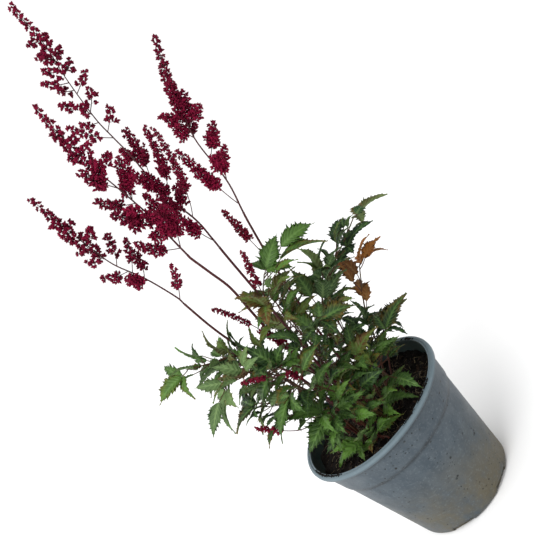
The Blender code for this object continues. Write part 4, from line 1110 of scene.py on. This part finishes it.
def cut_notches(pot):
    """Cut the drainage notches through the corner between the wall and the base."""
    bm = bmesh.new()
    for index in range(NOTCHES):
        angle = math.radians(FIRST_NOTCH_DEGREES + index * 360 / NOTCHES)
        place = Matrix.Translation(
            (BASE_RADIUS * math.cos(angle), BASE_RADIUS * math.sin(angle), 0))
        size = Matrix.Diagonal((NOTCH_DEPTH, NOTCH_WIDTH, 2 * NOTCH_HEIGHT, 1))
        bmesh.ops.create_cube(bm, size=1.0, matrix=place @ Matrix.Rotation(angle, 4, "Z") @ size)
    bmesh.ops.bevel(bm, geom=bm.edges[:], offset=1.6, segments=3, affect="EDGES", profile=0.5)
    bmesh.ops.scale(bm, vec=(MM, MM, MM), verts=bm.verts)
    cutter = solid_of(bm, "notches")
    cut = pot.modifiers.new("notches", "BOOLEAN")
    cut.operation = "DIFFERENCE"
    cut.object = cutter
    cut.solver = "EXACT"
    graph = bpy.context.evaluated_depsgraph_get()
    pot.data = bpy.data.meshes.new_from_object(pot.evaluated_get(graph))
    pot.modifiers.clear()
    bpy.data.objects.remove(cutter, do_unlink=True)


# ---------------------------------------------------------------- the soil

SOIL_GRID = (44, 150)
CRUMBS = 1500
CRUMB_SIZES = (0.35, 1.5)
CRUMB_DENTS = (0.65, 1.2)
CHIPS = 170
CHIP_SIZES = (1.0, 2.0)
CHIP_LENGTHS = (1.6, 3.2)
CHIP_FLAT = 0.32
CHIP_TILT = 0.35
FIBRES = 420
FIBRE_STEPS = (5, 12)
FIBRE_RADII = (0.24, 0.12)
FIBRE_STEP = 1.4


def rough(x, y, scale):
    """Smooth noise from -1 to 1 over the soil."""
    return noise.noise(Vector((x * scale, y * scale, 3.7)))


def soil_surface(x, y):
    """The soil's crumbly top."""
    return (soil_height(x, y) - 0.7 + 1.3 * rough(x, y, 0.09) + 0.9 * rough(x, y, 0.27)
            + 0.5 * rough(x, y, 0.8))


def crumb(rng, size, flat=1.0, long=1.0):
    """An irregular crumb: a squashed, dented ball of 12 corners."""
    ratio = (1 + math.sqrt(5)) / 2
    first = [(a, b * ratio, 0) for b in (1, -1) for a in (-1, 1)]
    corners = np.vstack([np.roll(first, shift, axis=1) for shift in range(3)])
    points = corners / math.hypot(1, ratio)
    points *= rng.uniform(*CRUMB_DENTS, (12, 1)) * size * np.array([long, 1.0, flat])
    if flat == 1.0:
        turn = Quaternion(rng.normal(size=4)).normalized().to_matrix()
    else:
        heading = Quaternion((0, 0, 1), rng.uniform(0, math.tau)).to_matrix()
        turn = heading @ Quaternion((1, 0, 0), rng.normal(0, CHIP_TILT)).to_matrix()
    return points @ np.array(turn).T


CRUMB_FACES = [(0, 11, 5), (0, 5, 1), (0, 1, 7), (0, 7, 10), (0, 10, 11), (1, 5, 9), (5, 11, 4),
               (11, 10, 2), (10, 7, 6), (7, 1, 8), (3, 9, 4), (3, 4, 2), (3, 2, 6), (3, 6, 8),
               (3, 8, 9), (4, 9, 5), (2, 4, 11), (6, 2, 10), (8, 6, 7), (9, 8, 1)]


def soil_bed(edge):
    """The rings of the soil's body, from its underside up and in over its lumpy top."""
    rings, sides = SOIL_GRID
    corner = POT_HEIGHT - COLLAR_HEIGHT - 2
    below = [(inner_radius(BASE_ROUNDING + 2) - 1.5, WALL + GAP), (inner_radius(7), 7.0),
             (inner_radius(corner), corner)]
    rows = [ring(radius - GAP, height, sides) for radius, height in below]
    for index in range(rings):
        dip = 0.5 if index == 0 else 0
        rows.append([(x, y, soil_surface(x, y) - dip)
                     for x, y, z in ring(edge * (1 - index / rings) ** 0.9, 0, sides)])
    return rows


def scattered(rng, reach):
    """A random place within a reach of the pot's middle."""
    radius, angle = reach * math.sqrt(rng.uniform()), rng.uniform(0, math.tau)
    return radius * math.cos(angle), radius * math.sin(angle)


def make_soil_piece(materials):
    """The soil: a lumpy bed with crumbs, bark chips and fine pale fibres on it."""
    rng = seeded("soil")
    skin = Skin()
    edge = inner_radius(SOIL_TOP) - GAP
    rows = soil_bed(edge)
    sides = len(rows[0])
    points = [place for row in rows for place in row]
    points += [(0, 0, soil_surface(0, 0)), (0, 0, WALL + GAP)]
    last = (len(rows) - 1) * sides
    faces = bands(len(rows), sides)
    for i, j in around(sides):
        faces += [(last + i, last + j, len(points) - 2), (j, i, len(points) - 1)]
    skin.add(points, faces, 0, (0.3, 0, 0))
    for index in range(CRUMBS + CHIPS):
        x, y = scattered(rng, edge - 2.5)
        chip = index >= CRUMBS
        if chip:
            size = rng.uniform(*CHIP_SIZES)
            shape = crumb(rng, size, CHIP_FLAT, rng.uniform(*CHIP_LENGTHS))
        else:
            size = rng.uniform(*CRUMB_SIZES) * rng.uniform(0.6, 1)
            shape = crumb(rng, size)
        shape += [x, y, soil_surface(x, y) + 0.25 * size]
        skin.add(shape, CRUMB_FACES, int(chip), (rng.uniform(0, 1), 0, 0))
    for index in range(FIBRES):
        x, y = scattered(rng, edge - 9)
        heading, bend = rng.uniform(0, math.tau), rng.normal(0, 0.22)
        line = []
        for step in range(int(rng.integers(*FIBRE_STEPS))):
            heading += bend + rng.normal(0, 0.12)
            x += FIBRE_STEP * math.cos(heading)
            y += FIBRE_STEP * math.sin(heading)
            if math.hypot(x, y) > edge - 1.5:
                break
            line.append(Vector((x, y, soil_surface(x, y) + 0.35 + 0.5 * math.sin(step * 0.8))))
        if len(line) > 2:
            add_tube(skin, line, FIBRE_RADII, 4, 2, rng.uniform(0, 1))
    stand_in(skin.make("potting_soil", materials), "soil")


def make_dirt_piece(materials):
    """Crumbs of soil left on the pot's rim."""
    rng = seeded("rim dirt")
    skin = Skin()
    for index in range(DIRT_SPECKS * len(DIRT_PLACES)):
        angle = math.radians(DIRT_PLACES[index % len(DIRT_PLACES)] + rng.normal(0, 2.6))
        radius = GROOVE_RADIUS + rng.normal(0, 0.5)
        shape = crumb(rng, rng.uniform(0.4, 1.15), 0.42, rng.uniform(1, 1.8))
        shape[:, 2] = np.minimum(shape[:, 2], DIRT_LIFT)
        place = [radius * math.cos(angle), radius * math.sin(angle), POT_HEIGHT - DIRT_DEPTH]
        skin.add(shape + place, CRUMB_FACES, 0, (rng.uniform(0, 0.4), 0, 0))
    piece = skin.make("rim_crumbs", materials)
    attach(piece, "root")


# ---------------------------------------------------------------- materials

class Shader:
    """Adds and links nodes of one material or world."""

    def __init__(self, owner):
        owner.use_nodes = True
        self.owner = owner
        self.nodes, self.links = owner.node_tree.nodes, owner.node_tree.links

    def fill(self, node, values):
        """Link or set sockets of a node, by name or number."""
        for socket, value in dict(values).items():
            if isinstance(value, bpy.types.NodeSocket):
                self.links.new(value, node.inputs[socket])
            else:
                node.inputs[socket].default_value = value
        return node

    def add(self, kind, values=(), **settings):
        """A new node with these values and settings."""
        node = self.nodes.new(kind)
        for name, value in settings.items():
            setattr(node, name, value)
        return self.fill(node, values)

    def coordinate(self, kind="Object"):
        """The three parts of a coordinate."""
        place = self.add("ShaderNodeTexCoord").outputs[kind]
        return self.add("ShaderNodeSeparateXYZ", {0: place}).outputs

    def stretched(self, stretch):
        """The object's own coordinates, stretched along each axis where that is asked for."""
        place = self.add("ShaderNodeTexCoord").outputs["Object"]
        if stretch is None:
            return place
        return self.add("ShaderNodeMapping", {"Vector": place, "Scale": stretch}).outputs[0]

    def noise(self, scale, detail=3.0, roughness=0.5, stretch=None):
        """Noise over the object's own coordinates."""
        values = {"Vector": self.stretched(stretch), "Scale": scale, "Detail": detail,
                  "Roughness": roughness}
        return self.add("ShaderNodeTexNoise", values).outputs["Fac"]

    def ramp(self, source, *stops):
        """A colour ramp of (place, value or colour) stops."""
        ramp = self.add("ShaderNodeValToRGB", {"Fac": source})
        elements = ramp.color_ramp.elements
        while len(elements) < len(stops):
            elements.new(0.5)
        for element, (place, colour) in zip(elements, stops):
            element.position = place
            element.color = (*(colour if isinstance(colour, tuple) else [colour] * 3), 1)
        return ramp.outputs["Color"]

    def patches(self, start, end, *noise):
        """Patches of noise that fade in between two of its values."""
        return self.ramp(self.noise(*noise), (start, 0.0), (end, 1.0))

    def math(self, operation, *values):
        """One arithmetic step between outputs or numbers."""
        return self.add("ShaderNodeMath", enumerate(values), operation=operation).outputs[0]

    def over(self, under, top, *shares):
        """A colour with another over it, by the product of the shares."""
        share = shares[0]
        for other in shares[1:]:
            share = self.math("MULTIPLY", share, other)
        under, top = ((*value, 1) if isinstance(value, tuple) else value for value in (under, top))
        values = {0: share, 6: under, 7: top}
        return self.add("ShaderNodeMix", values, data_type="RGBA").outputs[2]

    def tint(self):
        """The three channels of the mesh's tint."""
        colour = self.add("ShaderNodeAttribute", attribute_name="tint").outputs["Color"]
        return self.add("ShaderNodeSeparateColor", {"Color": colour}).outputs

    def finish(self, colour, roughness, specular, bump=None):
        """The material with this surface, and a bump by a height, a strength and a distance."""
        surface = self.fill(self.nodes["Principled BSDF"], {
            "Base Color": colour, "Roughness": roughness, "Specular IOR Level": specular})
        if bump:
            values = zip(("Height", "Strength", "Distance"), bump)
            self.fill(surface, {"Normal": self.add("ShaderNodeBump", values).outputs["Normal"]})
        return self.owner


def new_shader(name):
    """The nodes of a new material."""
    return Shader(bpy.data.materials.new(name))


def leaf_material(name, dark, light, vein, edge, gloss, old=(0.105, 0.050, 0.015)):
    """A leaf: mottled between two greens, with veins and a worn edge from the mesh's tint.

    A tone over 1 turns the leaf towards its old colour.
    """
    shader = new_shader(name)
    veins, wear_and_highlight, tone = shader.tint()
    patches = shader.patches(0.32, 0.7, 95, 4)
    share = shader.math("ADD", shader.math("MULTIPLY", tone, 0.75),
                        shader.math("MULTIPLY", patches, 0.25))
    middle = tuple(0.40 * a + 0.30 * b for a, b in zip(dark, light))
    colour = shader.ramp(share, (0.0, dark), (0.45, middle), (0.95, light))
    turned = shader.math("MULTIPLY", shader.math("SUBTRACT", tone, 1.0),
                         shader.math("ADD", patches, 0.35))
    colour = shader.over(colour, old, shader.add("ShaderNodeClamp", {"Value": turned}).outputs[0])
    colour = shader.over(colour, dark, shader.noise(900, 2), 0.35)
    colour = shader.over(colour, vein, shader.ramp(veins, (0.35, 0.0), (0.8, 1.0)), 0.6)
    colour = shader.over(colour, edge, wear_and_highlight, shader.patches(0.35, 0.6, 210, 3))
    rough = shader.ramp(shader.noise(160, 2), (0.3, gloss - 0.06), (0.7, gloss + 0.08))
    return shader.finish(colour, rough, 0.22, (shader.noise(1300, 2), 0.25, 0.0004))


def bud_material(name, dark, light):
    """A floret bud: darker at its foot, and lighter or darker by its own tone."""
    shader = new_shader(name)
    tone, height = shader.tint()[:2]
    colour = shader.over(shader.over(dark, light, tone), light, height, 0.45)
    colour = shader.over(colour, dark, shader.noise(700, 2), 0.4)
    return shader.finish(colour, 0.7, 0.12, (shader.noise(2200, 2), 0.3, 0.0003))


def stem_material(name, low, high, green):
    """A stem: ribbed lengthways, its colour drifting from foot to tip."""
    shader = new_shader(name)
    tone = shader.tint()[0]
    colour = shader.over(low, high, shader.noise(240, 3, 0.6, (1, 1, 0.12)))
    height = shader.coordinate()[2]
    colour = shader.over(colour, high, shader.ramp(height, (0.13, 0.0), (0.4, 1.0)), 0.6)
    colour = shader.over(colour, green, tone, 0.45)
    ribs = shader.noise(900, 2, 0.5, (1, 1, 0.2))
    return shader.finish(colour, 0.5, 0.25, (ribs, 0.35, 0.0004))


# Layers of the pot's colour that lie in patches of noise: start and end of the patches, colour,
# share, and the noise.
PATCHES = (
    (0.38, 0.66, (0.075, 0.092, 0.104), 0.45, (130, 4, 0.65)),
    (0.45, 0.75, (0.115, 0.145, 0.165), 0.25, (60, 4, 0.6, (1, 1, 0.18))),
)
# Specks of soil: scale, size, scale of their patches, start of the patches, and how flat they are.
SPECKS = ((95, 0.16, 48, 0.50, 1.0), (170, 0.18, 34, 0.53, 1.0), (60, 0.12, 60, 0.52, 2.6),
          (240, 0.20, 26, 0.56, 1.8))
# The colour of the painted shade in the collar's crease and under the lip.
SHADE = (0.012, 0.016, 0.019)


def pot_material():
    """Grey-blue moulded plastic: scuffed, dusty, with specks and smears of soil.

    It also has painted highlights on the lip, its ridge and the collar's lower edge, and painted
    shade in the collar's crease and under the lip.
    """
    shader = new_shader("pot_plastic")
    x, y, z = shader.coordinate()
    colour = shader.over((0.030, 0.045, 0.059), (0.052, 0.070, 0.086),
                         shader.patches(0.3, 0.72, 14, 5, 0.6))
    for start, end, top, share, texture in PATCHES:
        colour = shader.over(colour, top, shader.patches(start, end, *texture), share)
    # Painted highlight: the top of the lip is lightened where it faces the light from above.
    lip = shader.ramp(z, (0.133, 0.0), (0.1345, 1.0))
    colour = shader.over(colour, (0.155, 0.215, 0.245), lip, 0.6)
    # Painted highlight: a thin light line round the ridge on top of the lip, broken up by noise.
    square = shader.math("ADD", shader.math("POWER", x, 2.0), shader.math("POWER", y, 2.0))
    outwards = shader.math("SQRT", square)
    ridge_highlight = shader.ramp(outwards, (0.0824, 0.0), (0.0828, 1.0), (0.0832, 0.0))
    wear_and_highlight = shader.ramp(shader.noise(45, 3), (0.3, 0.2), (0.6, 0.85))
    colour = shader.over(colour, (0.36, 0.43, 0.46), lip, ridge_highlight, wear_and_highlight)
    # Painted shade: a dark line in the crease at the foot of the collar, patchy by noise.
    collar_step_shade = shader.ramp(z, (0.1040, 0.0), (0.1054, 1.0), (0.1062, 0.0))
    deep = shader.ramp(shader.noise(30, 4, 0.6), (0.3, 0.35), (0.6, 1.0))
    colour = shader.over(colour, SHADE, collar_step_shade, deep)
    # Painted shade: a dark band under the lip's overhang.
    under_lip_shade = shader.ramp(z, (0.1315, 0.0), (0.1333, 1.0), (0.1345, 0.0))
    colour = shader.over(colour, SHADE, under_lip_shade, 0.75)
    # Painted highlight: a lighter band along the collar's lower edge, just above its crease.
    collar_edge_highlight = shader.ramp(z, (0.1062, 0.0), (0.1068, 0.7), (0.1085, 0.0))
    colour = shader.over(colour, (0.15, 0.19, 0.215), collar_edge_highlight, 0.5)
    low = shader.ramp(z, (0.0, 1.0), (0.03, 0.75), (0.085, 0.0))
    soiled = shader.patches(0.32, 0.58, 22, 5, 0.7)
    colour = shader.over(colour, (0.100, 0.082, 0.044), low, soiled, 0.9)
    below_lip = shader.ramp(z, (0.1325, 1.0), (0.1335, 0.0))
    for scale, size, patch, start, flat in SPECKS:
        vector = shader.stretched((1, 1, flat))
        dots = shader.add("ShaderNodeTexVoronoi", {"Scale": scale, "Vector": vector})
        speck = shader.ramp(dots.outputs["Distance"], (size * 0.6, 1.0), (size, 0.0))
        few = shader.patches(start, start + 0.05, patch, 3)
        colour = shader.over(colour, (0.010, 0.011, 0.011), speck, few, below_lip)
    colour = shader.over(colour, (0.20, 0.235, 0.255), shader.patches(0.55, 0.75, 420, 2), 0.20)
    rough = shader.ramp(shader.noise(35, 4), (0.3, 0.42), (0.75, 0.62))
    return shader.finish(colour, rough, 0.32, (shader.noise(650, 3, 0.6), 0.22, 0.0004))


def inside_material():
    """The pot's dark inside wall, dusty with soil."""
    shader = new_shader("pot_inside")
    dust = shader.patches(0.42, 0.7, 120, 5, 0.7)
    colour = shader.over((0.010, 0.028, 0.026), (0.03, 0.035, 0.028), dust)
    return shader.finish(colour, 0.55, 0.5, (shader.noise(500, 3), 0.3, 0.0005))


def soil_material(name, dark, light, scale):
    """Moist compost, bark or fibre, mottled between two browns."""
    shader = new_shader(name)
    mottle = shader.patches(0.35, 0.68, scale, 6, 0.7)
    colour = shader.over(dark, light, shader.math("ADD", mottle, shader.tint()[0]), 0.5)
    grain = shader.noise(scale * 4, 4, 0.7)
    return shader.finish(colour, 0.9, 0.15, (grain, 0.8, 0.0012))


def floor_material():
    """A plain pale floor."""
    shader = new_shader("floor")
    colour = shader.over((0.955, 0.955, 0.955), (0.97, 0.97, 0.97), shader.noise(3, 2))
    return shader.finish(colour, 0.9, 0.1)


# ---------------------------------------------------------------- the stage

WORLD_LIGHT = 1.06
WORLD_SLANT = 0.55
FLOOR_SIZE = 6.0
FLOOR_DROP = 0.0005
# Soft lights in metres and watts: name, place, power and size.
LAMPS = (("key", (-0.9, -1.5, 2.2), 34.0, 1.1), ("fill", (1.6, -0.9, 1.2), 4.0, 1.6))
LAMP_AIM = (0.02, 0, 0.25)


def make_world():
    """White light that is stronger from the left, and a backdrop that stays white."""
    world = bpy.data.worlds.new("studio")
    bpy.context.scene.world = world
    shader = Shader(world)
    sideways = shader.coordinate("Generated")[0]
    slope = shader.math("MULTIPLY_ADD", sideways, -WORLD_SLANT * WORLD_LIGHT, WORLD_LIGHT)
    seen = shader.add("ShaderNodeLightPath").outputs["Is Camera Ray"]
    strength = shader.add("ShaderNodeMix", {0: seen, 2: slope, 3: WORLD_LIGHT}).outputs[0]
    shader.fill(shader.nodes["Background"], {"Color": (1, 1, 1, 1), "Strength": strength})


def make_stage():
    """A pale floor, a white world and two soft lights."""
    bm = bmesh.new()
    bmesh.ops.create_grid(bm, x_segments=1, y_segments=1, size=FLOOR_SIZE)
    floor = solid_of(bm, "floor")
    floor.data.materials.append(floor_material())
    floor.location = (0, 0, -FLOOR_DROP)
    make_world()
    for name, place, power, size in LAMPS:
        lamp = bpy.data.lights.new(name, "AREA")
        lamp.energy = power
        lamp.size = size
        light = shown(name, lamp)
        light.location = place
        aim = Vector(LAMP_AIM) - Vector(place)
        light.rotation_euler = aim.to_track_quat("-Z", "Y").to_euler()


def make_camera():
    """The camera at the photograph's viewing angle, rolled as the plant was tilted."""
    pitch, roll = math.radians(CAMERA_PITCH), math.radians(CAMERA_ROLL)
    back = Vector((0, -math.cos(pitch), math.sin(pitch)))
    level_up = Vector((0, math.sin(pitch), math.cos(pitch)))
    level_right = Vector((1, 0, 0))
    right = level_right * math.cos(roll) + level_up * math.sin(roll)
    up = level_up * math.cos(roll) - level_right * math.sin(roll)
    matrix = Matrix((right, up, back)).transposed().to_4x4()
    matrix.translation = Vector(CAMERA_PLACE) * MM
    lens = bpy.data.cameras.new("camera")
    lens.sensor_fit = "HORIZONTAL"
    lens.angle = 2 * math.atan(FRAME_PIXELS / 2 / FOCAL_PIXELS)
    camera = shown("camera", lens)
    camera.matrix_world = matrix
    bpy.context.scene.camera = camera
    bpy.context.scene.view_settings.view_transform = "Standard"


# ---------------------------------------------------------------- everything

# The leaves' materials: name, dark and light colour, veins, worn edge and roughness.
LEAF_LOOKS = (
    ("leaf_green", (0.003, 0.016, 0.009), (0.108, 0.236, 0.030), (0.12, 0.22, 0.055),
     (0.17, 0.10, 0.02), 0.45),
    ("leaf_back", (0.030, 0.070, 0.028), (0.14, 0.23, 0.075), (0.18, 0.27, 0.10),
     (0.18, 0.11, 0.03), 0.6),
    ("leaf_bronze", (0.15, 0.045, 0.010), (0.40, 0.150, 0.026), (0.34, 0.16, 0.04),
     (0.07, 0.018, 0.008), 0.55),
    ("leaf_rust", (0.16, 0.060, 0.020), (0.34, 0.15, 0.040), (0.28, 0.15, 0.05),
     (0.08, 0.03, 0.012), 0.65),
)


def dress():
    """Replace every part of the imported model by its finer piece."""
    axes, plumes, shoots, fronds, room = grow()
    rng = random.Random("extras")
    extras = {name: placed_leaflets(name, fronds[name][0], room) for name in FRONDS}
    for name in FRONDS:
        if name not in BARE_FRONDS:
            extras[name] += extra_leaflets(name, fronds[name][0], room, rng)
    stem = stem_material("stem_maroon", (0.115, 0.011, 0.018), (0.030, 0.005, 0.009),
                         (0.075, 0.020, 0.014))
    stalk = stem_material("leaf_stalk", (0.10, 0.018, 0.018), (0.045, 0.020, 0.010),
                          (0.075, 0.085, 0.020))
    bud = bud_material("bud_crimson", (0.050, 0.0008, 0.009), (0.235, 0.003, 0.034))
    rose = bud_material("bud_rose", (0.040, 0.001, 0.007), (0.205, 0.006, 0.026))
    green, pale, bronze, rust = (leaf_material(*look) for look in LEAF_LOOKS)
    for name in STALKS:
        make_stalk_piece(name, axes[name], [stem])
        make_plume_piece(name, plumes[name], [bud, stem])
    for name in SHOOTS:
        make_shoot_piece(name, shoots[name], [rose, stem])
    other_skins = {"frond_brown": [bronze, rust, stalk], "frond_left_pale": [pale, pale, stalk]}
    for name in FRONDS:
        materials = other_skins.get(name, [green, pale, stalk])
        make_frond_piece(name, fronds[name], extras[name], materials)
    make_pot_piece([pot_material(), inside_material()])
    earth = soil_material("compost", (0.0020, 0.0015, 0.0012), (0.012, 0.008, 0.006), 150)
    bark = soil_material("bark", (0.010, 0.006, 0.004), (0.050, 0.030, 0.018), 220)
    fibre = soil_material("fibre", (0.035, 0.027, 0.016), (0.29, 0.23, 0.145), 200)
    make_soil_piece([earth, bark, fibre])
    make_dirt_piece([earth])


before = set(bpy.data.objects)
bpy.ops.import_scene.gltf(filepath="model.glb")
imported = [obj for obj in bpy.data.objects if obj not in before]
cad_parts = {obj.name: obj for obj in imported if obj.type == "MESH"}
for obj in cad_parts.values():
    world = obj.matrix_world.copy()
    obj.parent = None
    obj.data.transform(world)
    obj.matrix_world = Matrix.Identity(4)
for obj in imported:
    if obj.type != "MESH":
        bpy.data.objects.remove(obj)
cad_box = [list(corner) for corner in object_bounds()]
BUD = bud_shape()
make_camera()
make_stage()
dress()
